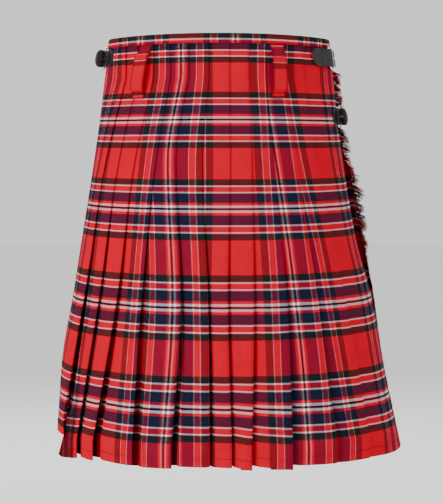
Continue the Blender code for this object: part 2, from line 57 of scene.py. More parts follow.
LAYER = 0.0016
LEATHER = 0.0018
CHAPE = 0.0014
FELL = 0.165
UNDERLAY = 0.5
STEEP_DOWN = (FELL, 0.25)
STEEP = [(0.07, 0.07, 0.30), (0.30, 0.14, -0.16)]
UNDER_DEEP = 0.0049
UNDER_END = 232.5
RINGS = np.array([
    # down, left, right, back, front
    (0.000, 0.156, 0.156, 0.118, 0.110), (0.060, 0.164, 0.164, 0.127, 0.118),
    (0.120, 0.171, 0.170, 0.148, 0.126), (0.200, 0.182, 0.181, 0.176, 0.133),
    (0.300, 0.197, 0.198, 0.197, 0.139), (0.380, 0.208, 0.219, 0.208, 0.143),
    (0.480, 0.224, 0.237, 0.214, 0.146), (0.599, 0.233, 0.262, 0.219, 0.149)])
PLEAT_DOWN = (0.061, 0.178, 0.369, 0.573)
PLEATS = [
    # crease at waist, seat, thigh and hem, and how far the fold stands open at the hem
    (-0.133, -0.161, -0.190, -0.222, 0.008), (-0.115, -0.142, -0.170, -0.203, 0.010),
    (-0.093, -0.119, -0.144, -0.179, 0.012), (-0.069, -0.089, -0.109, -0.122, 0.013),
    (-0.043, -0.061, -0.054, -0.067, 0.016), (-0.015, -0.024, -0.016, -0.014, 0.012),
    (0.014, 0.015, 0.012, 0.017, 0.009), (0.041, 0.045, 0.048, 0.045, 0.008),
    (0.066, 0.076, 0.094, 0.102, 0.011), (0.092, 0.109, 0.137, 0.165, 0.010),
    (0.119, 0.138, 0.178, 0.213, 0.009)]
LAST = len(PLEATS) - 1
EDGES = np.array([
    # down, how far past the side the frayed edge lies, how far it stands away
    (0.000, 0.016, 0.000), (0.060, 0.016, 0.000), (0.165, 0.013, 0.000), (0.215, 0.010, 0.007),
    (0.300, 0.012, 0.008), (0.420, 0.020, 0.002), (0.599, 0.035, 0.000)])
LIFT_REACH = 0.055
UNDER_STEP = (0.022, 0.008)
APRON_HEM_RISE = 0.024
BAND_TALL = 0.0139

# ---------------------------------------------------------------- the pattern
SETT = 0.144                  # one repeat of the stripes across the cloth
HALF = 41.5                   # threads' units in half a repeat
# Height of the black middle line of each repeat down the cloth, on the centre back
MIDDLES_DOWN = (0.0030, 0.1211, 0.2445, 0.3797, 0.5191, 0.6600)
MIDDLES = (-1, 0, 1, 2, 3, 4)
# Stripes from the black line (0) out to the middle of the broad red (1)
WEFT = [("black", 0.9), ("white", 3.2), ("red", 5.6), ("navy", 14.1), ("white", 15.3),
        ("red", 19.9), ("white", 21.1), ("green", 26.8), ("red", HALF)]
WARP = [("black", 0.9), ("white", 2.7), ("red", 4.6), ("navy", 14.3), ("white", 15.1),
        ("red", 20.1), ("white", 20.9), ("green", 26.8), ("red", HALF)]
# Each yarn's colour, and how strongly it shows against another that it crosses
COLOURS = {"red": (0.570, 0.0, 0.0170, 0.60), "navy": (0.009, 0.011, 0.028, 1.0),
           "green": (0.010, 0.014, 0.012, 1.0), "black": (0.005, 0.005, 0.006, 1.0),
           "white": (0.97, 0.75, 0.81, 0.12)}


def smooth(at, xs, ys):
    """A cubic through the points, with the mean of the neighbouring slopes at each point and level
    where the slope changes sign."""
    xs, ys = np.asarray(xs, float), np.asarray(ys, float)
    step = np.diff(ys) / np.diff(xs)
    slope = np.concatenate([[step[0]], (step[1:] + step[:-1]) / 2, [step[-1]]])
    slope[np.concatenate([[False], step[1:] * step[:-1] <= 0, [False]])] = 0
    at = np.clip(np.asarray(at, float), xs[0], xs[-1])
    k = np.clip(np.searchsorted(xs, at, side="right") - 1, 0, len(xs) - 2)
    wide = xs[k + 1] - xs[k]
    t = (at - xs[k]) / wide
    return ((2 * t**3 - 3 * t**2 + 1) * ys[k] + (t**3 - 2 * t**2 + t) * wide * slope[k]
            + (3 * t**2 - 2 * t**3) * ys[k + 1] + (t**3 - t**2) * wide * slope[k + 1])


def ease(t):
    """0 before 0, 1 after 1, 3tt - 2ttt between."""
    t = np.clip(t, 0.0, 1.0)
    return t * t * (3 - 2 * t)


def ramp(at, start, reach):
    """0 up to start, 1 from start + reach on, and eased between."""
    return ease((at - start) / reach)


def bump(t, middle, width):
    """A soft ridge: a bell curve of that width."""
    return np.exp(-((t - middle) / width) ** 2)


def distance(across, other):
    """Length along a line from its first point, for the points' places on two axes."""
    return np.concatenate([[0], np.cumsum(np.hypot(np.diff(across), np.diff(other)))])


class Ring:
    """The outline at one height: a rounded ellipse whose four half sizes follow RINGS, measured by
    its length from the centre back."""

    known = {}

    def __init__(self, down):
        self.down = down
        left, right, back, front = (float(smooth(down, RINGS[:, 0], RINGS[:, k])) for k in (1, 2, 3, 4))
        self.left, self.right, self.back, self.front = left, right, back, front
        self.turn = np.linspace(-2 * math.pi, 2 * math.pi, 2881)
        s, c = np.sin(self.turn), np.cos(self.turn)
        power = np.where(c > 0, 2 / ROUND_BACK, 2 / ROUND_FRONT)
        self.x = -np.where(s > 0, right, left) * np.sign(s) * np.abs(s) ** power
        self.y = np.where(c > 0, back, front) * np.sign(c) * np.abs(c) ** power
        total = distance(self.x, self.y)
        self.along = total - total[len(total) // 2]
        self.length = float(total[-1] / 2)

    @classmethod
    def at(cls, down):
        """The ring at a height, which is rounded to 0.01 mm."""
        key = round(float(down), 5)
        if key not in cls.known:
            cls.known[key] = cls(key)
        return cls.known[key]

    def turned(self, degrees):
        """Along at an angle round the ring from the centre back."""
        return np.interp(np.radians(degrees), self.turn, self.along)

    def across(self, right):
        """Along at the point of the back that is seen this far to the wearer's right."""
        half = np.where(np.asarray(right) > 0, self.right, self.left)
        share = np.minimum(np.abs(right) / half, 0.999)
        return self.turned(np.degrees(np.copysign(np.arcsin(share ** (ROUND_BACK / 2)), right)))

    def points(self, along, deep):
        """Points in space for arrays of along and deep."""
        (x, y), (x1, y1), (x2, y2) = (
            (np.interp(at, self.along, self.x), np.interp(at, self.along, self.y))
            for at in (along, along - SLOPE_REACH, along + SLOPE_REACH))
        dx, dy = x2 - x1, y2 - y1
        size = np.hypot(dx, dy)
        x, y = x - deep * dy / size, y + deep * dx / size
        share = self.down / LENGTH
        rise = HEM_RISE * share * (self.back - y) / (self.back + self.front)
        dip = TOP_DIP * (1 - share) ** 3 * (1 - np.maximum(y / self.back, 0.0) ** 2)
        z = STRAP_DROP - self.down + rise - dip
        return np.stack([x, y, z], axis=-1)


def place(downs, along, deep):
    """Points in space for a list of heights and grids of along and deep with a row for each. Rings are
    kept at rounded heights, so what the rounding took away is added again."""
    rows = []
    for down, a, d in zip(downs, along, deep):
        ring = Ring.at(down)
        rows.append(ring.points(a, d) - (0, 0, down - ring.down))
    return np.array(rows)


def crease(number, down):
    """Along at a pleat's crease: a cubic through its four places across the back."""
    return float(Ring.at(down).across(float(smooth(down, PLEAT_DOWN, PLEATS[number][:4]))))


def stand(number, down):
    """How far a fold stands open: two layers down to FELL, then eased to its value at the hem."""
    flat = 2 * LAYER
    return float(flat + (PLEATS[number][4] - flat) * ramp(down, FELL, LENGTH - FELL))


def inner_fold(number, down):
    """Along at a pleat's hidden fold: its crease less the share UNDERLAY of the panel's width."""
    other = 1 if number == 0 else number
    shown = crease(other, down) - crease(other - 1, down)
    return crease(number, down) - UNDERLAY * shown


def panel_depth(number, down, share):
    """A pleat's visible panel dips under the crease before it and levels out."""
    return 0.0 if number == 0 else stand(number - 1, down) * (1 - share) ** 2


def steep(number, down, share):
    """How much deeper than that even dip the panel lies: more just inside the crease, then less."""
    low = float(ramp(down, *STEEP_DOWN)) * stand(number - 1, down)
    return low * sum(size * bump(share, middle, width) for middle, width, size in STEEP)


def fringe_edge(down):
    """Along at the over apron's frayed edge: the wearer's right side, and past it by EDGES."""
    return float(Ring.at(down).turned(90) + smooth(down, EDGES[:, 0], EDGES[:, 1]))


def fringe_lift(down):
    """How far that edge stands away from the ring: a cubic through EDGES."""
    return float(smooth(down, EDGES[:, 0], EDGES[:, 2]))


# ---------------------------------------------------------------- meshes
SHARP = 0.9                   # radians between faces above which their edge is sharp


def grid_normals(points):
    """The cross product of a grid's two directions, with unit length."""
    n = np.cross(np.gradient(points, axis=1), np.gradient(points, axis=0))
    return n / np.maximum(np.linalg.norm(n, axis=-1, keepdims=True), 1e-12)


def make(name, verts, faces, uvs=None, material=None):
    """A mesh object from arrays of points, faces and the points' places on the cloth, turned
    outwards: the volume that the faces hold is above 0."""
    verts = np.asarray(verts, float)
    if isinstance(faces, np.ndarray):
        loops, sizes = faces.ravel(), np.full(len(faces), faces.shape[1])
    else:
        sizes = np.array([len(f) for f in faces])
        loops = np.concatenate([np.array(f) for f in faces])
    starts = np.concatenate([[0], np.cumsum(sizes)[:-1]])
    volume = 0.0
    for k in (1, 2):
        whole = sizes > k + 1
        a, b, c = (verts[loops[starts[whole] + j]] for j in (0, k, k + 1))
        volume += float((a * np.cross(b, c)).sum())
    if volume < 0:
        place_in = np.arange(len(loops)) - np.repeat(starts, sizes)
        loops = loops[np.repeat(starts + sizes - 1, sizes) - place_in]
    mesh = bpy.data.meshes.new(name)
    mesh.vertices.add(len(verts))
    mesh.vertices.foreach_set("co", verts.astype(np.float32).ravel())
    mesh.loops.add(len(loops))
    mesh.loops.foreach_set("vertex_index", loops.astype(np.int32))
    mesh.polygons.add(len(sizes))
    mesh.polygons.foreach_set("loop_start", starts.astype(np.int32))
    mesh.update(calc_edges=True)
    if uvs is not None:
        layer = mesh.uv_layers.new(name="cloth")
        layer.data.foreach_set("uv", np.asarray(uvs)[loops].astype(np.float32).ravel())
    mesh.shade_smooth()
    if material:
        mesh.materials.append(material)
    item = bpy.data.objects.new(name, mesh)
    bpy.context.scene.collection.objects.link(item)
    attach(item, "root")
    return item


def shell(name, points, uv, thick, material, keep=None, fold=None, flesh=None):
    """A closed wall about a grid of points: both sides are the grid moved along its normals by half
    the thickness, and a rim joins them round the outside and round each cell that keep leaves out.
    fold is how much painted shade each point gets, from 0 to 1: the shade in and beside folds, painted
    into the colour. flesh is 1 on the rough side of a hide: a value for the side along the normals and
    one for the other."""
    rows, columns = points.shape[:2]
    normal = grid_normals(points)
    half = (np.asarray(thick) / 2 * np.ones((rows, columns)))[..., None]
    verts = np.concatenate([(points + normal * half).reshape(-1, 3),
                            (points - normal * half).reshape(-1, 3)])
    index = np.arange(rows * columns).reshape(rows, columns)
    quad = np.stack([index[:-1, :-1], index[:-1, 1:], index[1:, 1:], index[1:, :-1]], axis=-1)
    quad = quad[keep] if keep is not None else quad.reshape(-1, 4)
    start, end = quad.ravel(), np.roll(quad, -1, axis=1).ravel()
    count = rows * columns
    free = ~np.isin(start * count + end, end * count + start)
    start, end = start[free], end[free]
    wall = np.stack([end, start, start + count, end + count], axis=-1)
    faces = np.concatenate([quad, quad[:, ::-1] + count, wall])
    used, where = np.unique(faces, return_inverse=True)
    uvs = np.concatenate([uv.reshape(-1, 2)] * 2)[used]
    item = make(name, verts[used], where.reshape(-1, 4), uvs, material)
    for name, values in (("fold", None if fold is None else np.tile(fold.ravel(), 2)),
                         ("flesh", None if flesh is None else np.repeat(flesh, count))):
        if values is not None:
            layer = item.data.attributes.new(name, "FLOAT", "POINT")
            layer.data.foreach_set("value", values[used].astype(np.float32))
    item.data.set_sharp_from_angle(angle=SHARP)
    return item


def tubes(name, paths, radius, sides, material, uv=None, closed=False):
    """Wires or threads, all with as many points: rings of points about each path, square to it. The
    ends close to a point where the radius is small there."""
    paths = np.asarray(paths, float)
    many, count = paths.shape[:2]
    if closed:
        ahead = np.roll(paths, -1, axis=1) - np.roll(paths, 1, axis=1)
    else:
        ahead = np.gradient(paths, axis=1)
    ahead /= np.linalg.norm(ahead, axis=-1, keepdims=True)
    reference = np.array((0.31, 0.87, 0.38))
    across = np.cross(ahead, reference)
    across /= np.linalg.norm(across, axis=-1, keepdims=True)
    other = np.cross(ahead, across)
    turn = np.arange(sides) / sides * 2 * math.pi
    radius = np.broadcast_to(np.asarray(radius, float), (many, count))[..., None, None]
    ring = np.cos(turn)[:, None] * across[:, :, None, :] + np.sin(turn)[:, None] * other[:, :, None, :]
    verts = (paths[:, :, None, :] + radius * ring).reshape(-1, 3)
    index = np.arange(many * count * sides).reshape(many, count, sides)
    after = np.roll(index, -1, axis=2)
    if closed:
        far, far_after = np.roll(index, -1, axis=1), np.roll(after, -1, axis=1)
        near, near_after = index, after
    else:
        near, near_after, far, far_after = index[:, :-1], after[:, :-1], index[:, 1:], after[:, 1:]
    faces = np.stack([near, near_after, far_after, far], axis=-1).reshape(-1, 4)
    if not closed:
        # each end is closed with quads that share the first point
        caps = []
        for k in range(1, sides - 1, 2):
            last = min(k + 2, sides - 1)
            for ring_at, turned in ((0, True), (count - 1, False)):
                cap = np.stack([index[:, ring_at, 0], index[:, ring_at, k], index[:, ring_at, k + 1],
                                index[:, ring_at, last]], axis=-1)
                caps.append(cap[:, ::-1] if turned else cap)
        faces = [tuple(dict.fromkeys(f)) for f in np.concatenate([faces, *caps]).tolist()]
    uvs = None if uv is None else np.repeat(np.asarray(uv, float).reshape(-1, 2), sides, axis=0)
    return make(name, verts, faces, uvs, material)


# ---------------------------------------------------------------- materials
class Socket:
    """A value in a material's node tree. Sums and products of such values add Math nodes."""

    def __init__(self, tree, link):
        self.tree, self.link = tree, link

    def math(self, operation, *others):
        """A Math node on this value and others."""
        item = self.tree.nodes.new("ShaderNodeMath")
        item.operation = operation
        for place, value in enumerate((self, *others)):
            feed(self.tree, item.inputs[place], value)
        return Socket(self.tree, item.outputs[0])

    def __add__(self, other): return self.math("ADD", other)
    def __radd__(self, other): return self.math("ADD", other)
    def __mul__(self, other): return self.math("MULTIPLY", other)
    def __rmul__(self, other): return self.math("MULTIPLY", other)
    def __sub__(self, other): return self.math("SUBTRACT", other)
    def __rsub__(self, other): return Socket.math(constant(self.tree, other), "SUBTRACT", self)
    def fract(self): return self.math("FRACT")
    def abs(self): return self.math("ABSOLUTE")
    def sine(self): return self.math("SINE")

    def node(self, kind, settings=None, **inputs):
        return node(self.tree, kind, settings, **inputs)

    def smooth_step(self, low, high):
        """0 below low, 1 above high, and eased between."""
        return self.node("ShaderNodeMapRange", {"interpolation_type": "SMOOTHSTEP"},
                         Value=self, From_Min=low, From_Max=high)


def constant(tree, value):
    """A number that a Math node can start from."""
    item = tree.nodes.new("ShaderNodeValue")
    item.outputs[0].default_value = value
    return Socket(tree, item.outputs[0])


def feed(tree, socket, value):
    """Links a value to a node's socket, or sets it there."""
    if isinstance(value, Socket):
        tree.links.new(value.link, socket)
    else:
        socket.default_value = value


def node(tree, kind, settings=None, out=0, **inputs):
    """Any other node: its settings first, then the values or links of its sockets."""
    item = tree.nodes.new(kind)
    for name, value in (settings or {}).items():
        if name == "stops":
            ramp = item.color_ramp
            while len(ramp.elements) > 1:
                ramp.elements.remove(ramp.elements[-1])
            ramp.elements[0].position, ramp.elements[0].color = value[0]
            for position, colour in value[1:]:
                ramp.elements.new(position).color = colour
        elif name == "interpolation":
            item.color_ramp.interpolation = value
        else:
            setattr(item, name, value)
    for name, value in inputs.items():
        name = name.replace("_", " ")
        socket = next(s for s in item.inputs if s.name == name and s.enabled)
        feed(tree, socket, value)
    return Socket(tree, item.outputs[out])


def mix(factor, a, b):
    """Mixes two colours."""
    tree = factor.tree
    item = tree.nodes.new("ShaderNodeMix")
    item.data_type = "RGBA"
    feed(tree, item.inputs["Factor"], factor)
    for place, value in ((6, a), (7, b)):
        feed(tree, item.inputs[place], value if isinstance(value, Socket) else (*value, 1.0))
    return Socket(tree, item.outputs[2])


def material_tree(name, roughness, **constants):
    """A material and its shader, with the values that are the same all over set on its sockets."""
    material = bpy.data.materials.new(name)
    material.use_nodes = True
    tree = material.node_tree
    shader = tree.nodes["Principled BSDF"]
    shader.inputs["Roughness"].default_value = roughness
    for socket, value in constants.items():
        shader.inputs[socket.replace("_", " ")].default_value = value
    return material, tree, shader


def noise(tree, scale, detail=2.0, roughness=0.5):
    """Soft noise in the object's own coordinates."""
    return node(tree, "ShaderNodeTexNoise", Vector=node(tree, "ShaderNodeTexCoord", out=3), Scale=scale,
                Detail=detail, Roughness=roughness)


def toned(colour, tone):
    """A colour times a number."""
    return node(colour.tree, "ShaderNodeVectorMath", {"operation": "SCALE"}, Vector=colour, Scale=tone)


def dress(shader, colour, height=None, strength=0.0, distance=0.0, roughness=None):
    """Links a shader's colour and, where they are given, its roughness and its relief."""
    tree = colour.tree
    tree.links.new(colour.link, shader.inputs["Base Color"])
    if roughness is not None:
        tree.links.new(roughness.link, shader.inputs["Roughness"])
    if height is not None:
        relief = node(tree, "ShaderNodeBump", Strength=strength, Distance=distance, Height=height)
        tree.links.new(relief.link, shader.inputs["Normal"])


def stripe_colour(tree, place, order):
    """The yarn's colour at a place given in repeats, and how strongly it shows. 0.5 is the black
    line, and 0 the middle of the broad red."""
    from_black = (place.fract() - 0.5).abs() * 2.0
    stops, start = [], 0.0
    for colour, end in order:
        stops.append((start / HALF, COLOURS[colour]))
        start = end
    colour = node(tree, "ShaderNodeValToRGB", {"interpolation": "CONSTANT", "stops": stops},
                  Fac=from_black)
    return colour, Socket(tree, colour.link.node.outputs["Alpha"])


def uv_places(tree):
    """The two coordinates of the cloth's map."""
    item = tree.nodes.new("ShaderNodeUVMap")
    item.uv_map = "cloth"
    split = tree.nodes.new("ShaderNodeSeparateXYZ")
    tree.links.new(item.outputs[0], split.inputs[0])
    return Socket(tree, split.outputs[0]), Socket(tree, split.outputs[1])


def tartan(name):
    """Woven twill: warp and weft yarns of two stripe orders, which take turns on slanting lines. The
    weft shows more than the warp, and of the two the darker yarn shows more than the paler one. Shade is
    painted into the colour inside and beside the folds: the attribute fold darkens it."""
    material, tree, shader = material_tree(name, 0.92, Sheen_Weight=0.004, Sheen_Roughness=0.5,
                                           Specular_IOR_Level=0.02)
    u, v = uv_places(tree)
    warp, warp_strength = stripe_colour(tree, u, WARP)
    weft, weft_strength = stripe_colour(tree, v, WEFT)
    share = (weft_strength - warp_strength) * STRENGTH_SHOWS + WEFT_SHOWS
    share = share.math("MAXIMUM", WEFT_SHARES[0]).math("MINIMUM", WEFT_SHARES[1])
    twill = (u * TWILL + v * TWILL).fract()
    over = ((twill - share) * 7.0 + 0.5).math("MAXIMUM", 0.0).math("MINIMUM", 1.0)
    colour = mix(over, weft, warp)
    slub, fine = noise(tree, 34.0, 4.0, 0.6), noise(tree, 900.0)
    # painted shade: the fold attribute darkens the colour in and beside folds and creases
    fold = node(tree, "ShaderNodeAttribute", {"attribute_name": "fold"}, out=2)
    tone = (slub * 0.22 + fine * 0.25 + 0.76) * (1.0 - fold * FOLD_PAINTED_SHADE)
    dress(shader, toned(colour, tone), (twill * (2 * math.pi)).sine() * 0.5 + fine * 0.8, 0.35, 0.00025)
    return material


def yarn():
    """Loose weft threads, each in the colour of its stripe, mixed towards FRAY_DARK as painted shade
    where other threads shade it.
    """
    material, tree, shader = material_tree("loose weft", 0.95, Sheen_Weight=0.01,
                                           Specular_IOR_Level=0.03)
    bright, v = uv_places(tree)
    colour = mix(bright, FRAY_DARK, stripe_colour(tree, v, WEFT)[0])
    dress(shader, toned(colour, noise(tree, 1200.0) * 0.5 + 0.7))
    return material


def hide():
    """Matt black leather: a fine grain, worn paler and smoother where it is rubbed, and greyer on the
    flesh side."""
    material, tree, shader = material_tree("black leather", 0.5, Specular_IOR_Level=0.32)
    obj = node(tree, "ShaderNodeTexCoord", out=3)
    cells = node(tree, "ShaderNodeTexVoronoi", {"feature": "DISTANCE_TO_EDGE"}, Vector=obj, Scale=1300.0)
    rub = noise(tree, 160.0, 5.0, 0.6)
    colour = mix(rub.smooth_step(0.42, 0.72), (0.009, 0.009, 0.010), (0.030, 0.029, 0.030))
    flesh = node(tree, "ShaderNodeAttribute", {"attribute_name": "flesh"}, out=2)
    colour = mix(flesh, colour, (0.075, 0.073, 0.074))
    dress(shader, colour, cells.smooth_step(0.0, 0.25) + rub * 0.5, 0.5, 0.0002, rub * 0.3 + 0.36)
    return material


def nickel():
    """Plated wire with faint scratches and duller patches."""
    material, tree, shader = material_tree("nickel", 0.22, Metallic=1.0)
    marks = noise(tree, 420.0, 6.0, 0.7)
    colour = mix(marks.smooth_step(0.35, 0.75), (0.93, 0.92, 0.90), (0.80, 0.79, 0.77))
    dress(shader, colour, roughness=marks * 0.3 + 0.1)
    return material


def thread(name, dark, pale):
    """Sewing thread of two plies."""
    material, tree, shader = material_tree(name, 0.8, Specular_IOR_Level=0.1)
    obj = node(tree, "ShaderNodeTexCoord", out=3)
    dress(shader, mix(node(tree, "ShaderNodeTexWave", Vector=obj, Scale=500.0), dark, pale))
    return material


TWILL = 60.0                  # slanting lines of the weave in one repeat of the stripes
WEFT_SHOWS = 0.62             # share of the face that is weft
STRENGTH_SHOWS = 0.60         # how much more of the stronger yarn shows
WEFT_SHARES = (0.31, 0.90)    # and the least and most of the weft
FOLD_PAINTED_SHADE = 0.75              # how much painted shade darkens the colour inside the folds

FRAY_DARK = (0.150, 0.002, 0.017)   # colour of the threads that lie in the shade of others
CLOTH_MAT = tartan("tartan wool")
YARN, HIDE, NICKEL = yarn(), hide(), nickel()
THREAD = thread("grey sewing thread", (0.05, 0.045, 0.045), (0.10, 0.09, 0.09))
THREAD_RED = thread("dark red sewing thread", (0.05, 0.002, 0.004), (0.11, 0.004, 0.008))


def sett_down(down):
    """The weft's place in the pattern at a height: the black lines lie at MIDDLES_DOWN."""
    return smooth(down, MIDDLES_DOWN, MIDDLES) + 0.5


def cloth_map(first, downs):
    """A grid's map on the cloth, from its first coordinate and the heights."""
    return np.stack(np.broadcast_arrays(first, sett_down(downs)), axis=-1)


def grids(lines):
    """Grids of points' sizes, from a list with a tuple of them for each row."""
    return (np.array(rows) for rows in zip(*lines))


# ---------------------------------------------------------------- pleats
# Place in the warp's pattern at each crease, in units of the half repeat HALF: at the waist, the thigh
# and the hem. 0 is the middle of the broad red, and 41.5 the black line
PHASE_DOWN = (0.061, 0.440, 0.573)
PHASES = [(-11.0, 2.0, 9.0), (-0.4, -3.5, -11.0), (14.75, 0.0, 0.0), (30.4, 29.0, 30.6),
          (47.5, 47.4, 47.5), (66.0, 68.4, 68.3), (81.6, 81.6, 81.6), (96.5, 95.0, 95.0),
          (111.0, 117.8, 116.8), (143.0, 146.3, 150.8), (160.7, 164.3, 162.5)]
ROWS = np.unique(np.concatenate([
    np.linspace(0.0018, 0.060, 16), np.linspace(0.060, 0.200, 36), np.linspace(0.200, 0.560, 62),
    np.linspace(0.560, 0.599, 20)]).round(5))
FOLD_NARROW, FOLD_WIDE = 0.0016, 0.0095   # width of the painted shade beside a crease, at waist and hem
# How much lower each pleat's hem hangs, at its start and at its crease
HEM_STEPS = [(0, 0), (0.010, 0.003), (-0.001, 0.001), (-0.002, 0.001), (0.003, 0.002), (0.000, -0.001),
             (-0.001, 0.000), (-0.002, 0.004), (-0.002, 0.005), (0.000, 0.000), (0.001, -0.001)]
HEM_PULL = 0.45               # the steps fade out above here
PANEL = 34                    # columns of points across a pleat's visible panel
CROWD = 1.15                  # above 1, these lie closer together towards the crease
HIDDEN = 6                    # columns of points along each hidden layer
TURN = np.radians(np.array([30, 60, 90, 120, 150]))   # and round a crease
TURN_SHADE = 0.15             # how much painted shade the cloth gets there
WALL = CLOTH * 0.8            # thickness of one layer of cloth
ROLL, ROLL_LOW, ROLL_DOWN, ROLL_WIDE = 0.0006, 0.0010, (FELL, 0.2), 0.045
DENT_WIDE, DENT_DOWN = 0.22, (FELL * 0.8, 0.10)
# heights over which the painted shade beside a crease widens
SHADE_DOWN = (FELL * 0.7, 0.40)
# Below the over apron's raised corner the first pleat's hidden layer swings out, and its start closes
# on the apron's fold: from which height, over how much, and how far along and deep
SWING_FROM, SWING_REACH, SWING = 0.560, 0.039, (0.016, 0.0072)
CLOSE_FROM, CLOSE_REACH, CLOSE = 0.525, 0.030, (0.010, 0.0058)
CLOSE_PANEL = 0.35            # share of the first panel that the closing takes along
# The over apron's shadow, painted on the first pleat: its depth, its reach down and its reach across
APRON_SHADE, APRON_SHADE_DOWN, APRON_SHADE_ACROSS = 0.85, (0.46, 0.10), (0.80, 0.2)
# Soft troughs (-) and ridges of the panels: pleat, place across it, height, reach down, size
DENTS = [
    (1, 0.5, 0.42, 0.10, -0.0016), (2, 0.45, 0.40, 0.12, 0.0012), (3, 0.40, 0.33, 0.14, -0.0020),
    (3, 0.75, 0.50, 0.10, 0.0012), (4, 0.45, 0.45, 0.16, 0.0016), (4, 0.30, 0.28, 0.08, -0.0014),
    (5, 0.50, 0.35, 0.14, -0.0018), (6, 0.55, 0.48, 0.12, 0.0013), (7, 0.45, 0.38, 0.13, -0.0015),
    (7, 0.70, 0.55, 0.08, 0.0012), (8, 0.50, 0.42, 0.15, 0.0016), (9, 0.45, 0.36, 0.12, -0.0018),
    (9, 0.70, 0.52, 0.10, 0.0015), (10, 0.50, 0.45, 0.14, -0.0014)]


def turned_under(end, deep, fold, hidden):
    """A crease in the cloth, as arrays of along and deep: round it in a half circle, and back under
    to the hidden fold."""
    back = np.linspace(0, 1, HIDDEN)
    under = deep + LAYER
    return (np.concatenate([end + LAYER / 2 * np.sin(TURN), end + back * (fold - end)]),
            np.concatenate([deep + LAYER / 2 * (1 - np.cos(TURN)), under + back * (hidden - under)]))


def pleat_columns(number, down):
    """One pleat at one height, as arrays of along, deep and length of cloth from its crease. It
    comes up from the hidden fold, bends to the front under the crease before it, crosses the
    panel, turns round its own crease in a half circle and goes back under."""
    before, here = crease(number - 1, down), crease(number, down)
    fold_before, fold = inner_fold(number - 1, down), inner_fold(number, down)
    open_before, open_here = stand(number - 1, down), stand(number, down)
    hidden = float(panel_depth(number - 1, down, 1 - UNDERLAY))
    t = np.linspace(0, 1, HIDDEN)[:-1]
    along = [fold_before + t * (before - fold_before)]
    deep = [hidden + open_before - t * hidden]
    share = 1 - (1 - np.linspace(0, 1, PANEL)) ** CROWD
    face = np.array(panel_depth(number, down, share))
    for which, middle, level, reach, size in DENTS:
        if which == number:
            face = face - (ramp(down, *DENT_DOWN) * size * bump(share, middle, DENT_WIDE)
                           * bump(down, level, reach))
    # The cloth rolls over a little just before its crease, more towards the hem
    face = face + steep(number, down, share)
    face = face + (ROLL + ROLL_LOW * float(ramp(down, *ROLL_DOWN))) * bump(share, 1.0, ROLL_WIDE)
    shown = before + share * (here - before)
    # Painted shade inside the fold, and just beside the crease over it
    dark = FOLD_NARROW + (FOLD_WIDE - FOLD_NARROW) * float(ramp(down, *SHADE_DOWN))
    near = 1 - ease(share * (here - before) / dark)
    if number == 1:
        low = float(np.clip((down - SWING_FROM) / SWING_REACH, 0, 1))
        close = float(ramp(down, CLOSE_FROM, CLOSE_REACH))
        along[0] = along[0] - low * SWING[0] * (1 - t) - close * CLOSE[0] * t
        deep[0] = deep[0] - low * SWING[1] * (1 - t ** 3) - close * CLOSE[1] * t ** 3
        fades = close * (1 - ease(share / CLOSE_PANEL))
        shown, face = shown - fades * CLOSE[0], face - fades * CLOSE[1]
        # painted shadow of the over apron on the first pleat near the hem
        near = np.maximum(near, APRON_SHADE * float(ramp(down, *APRON_SHADE_DOWN))
                          * (1 - ramp(share, *APRON_SHADE_ACROSS)))
    end = float(panel_depth(number, down, 1 - UNDERLAY)) + open_here - LAYER
    far, far_deep = turned_under(here, face[-1], fold, end)
    along, deep = np.concatenate([*along, shown, far]), np.concatenate([*deep, face, far_deep])
    length = distance(along, deep)
    # painted shade: full on the hidden layers, eased beside the crease, and TURN_SHADE round it
    shade = np.concatenate([np.ones(HIDDEN - 1), near, TURN * 0 + TURN_SHADE, np.ones(HIDDEN)])
    return along, deep, length - length[HIDDEN - 1 + PANEL - 1], shade


def pleats(name, first, last, old):
    """Several pleats in a row, as one wall."""
    columns = []
    for number in range(first, last + 1):
        along, deep, length, shade = grids(pleat_columns(number, float(down)) for down in ROWS)
        phase = smooth(ROWS, PHASE_DOWN, PHASES[number])[:, None] / (2 * HALF) + length / SETT
        shown = length[-1, HIDDEN - 1]
        across = np.clip(1 - length[-1] / shown, 0, 1)
        lower = HEM_STEPS[number][0] + across * (HEM_STEPS[number][1] - HEM_STEPS[number][0])
        pull = lower[None, :] * ramp(ROWS, HEM_PULL, LENGTH - HEM_PULL)[:, None]
        columns.append((along, deep, phase, shade, pull))
    along, deep, phase, shade, pull = (np.concatenate([c[k] for c in columns], axis=1) for k in range(5))
    points = place(ROWS, along, deep)
    points[..., 2] -= pull
    item = shell(name, points, cloth_map(phase, ROWS[:, None]), WALL, CLOTH_MAT, fold=shade)
    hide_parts(old)
    return item, points


half = LAST // 2
left_pleats, left_grid = pleats("pleats_left", 1, half, "pleated_back_left")
right_pleats, right_grid = pleats("pleats_right", half + 1, LAST, "pleated_back_right")


# ---------------------------------------------------------------- aprons
GRAIN_LEANS = 0.17            # length of cloth beside the over apron's crease whose stripes lean
FOLD_MEETS = 0.0010           # from its hidden fold to the layer of the first pleat that it joins
# The over apron's long waves: place across it, width and height outwards, all below a height
WAVES = [(0.30, 0.05, 0.0022), (0.43, 0.06, -0.0016), (0.60, 0.05, 0.0020), (0.72, 0.05, -0.0014),
         (0.86, 0.03, 0.0012)]
WAVES_DOWN = (0.12, 0.30)
FRONT = 120                   # columns of points across the over apron
APRON_RISE_ACROSS = (0.35, 0.4)       # where across it its hem begins to rise, and over how much
APRON_RISE_FROM = 0.3         # and the height below which it does
APRON_TURN_HANGS = 0.35       # share of its turned-under part over which that rise ends
UNDER_PHASE = (77.7, 74.0, 74.0)      # the under apron's place in the pattern at the last pleat's fold


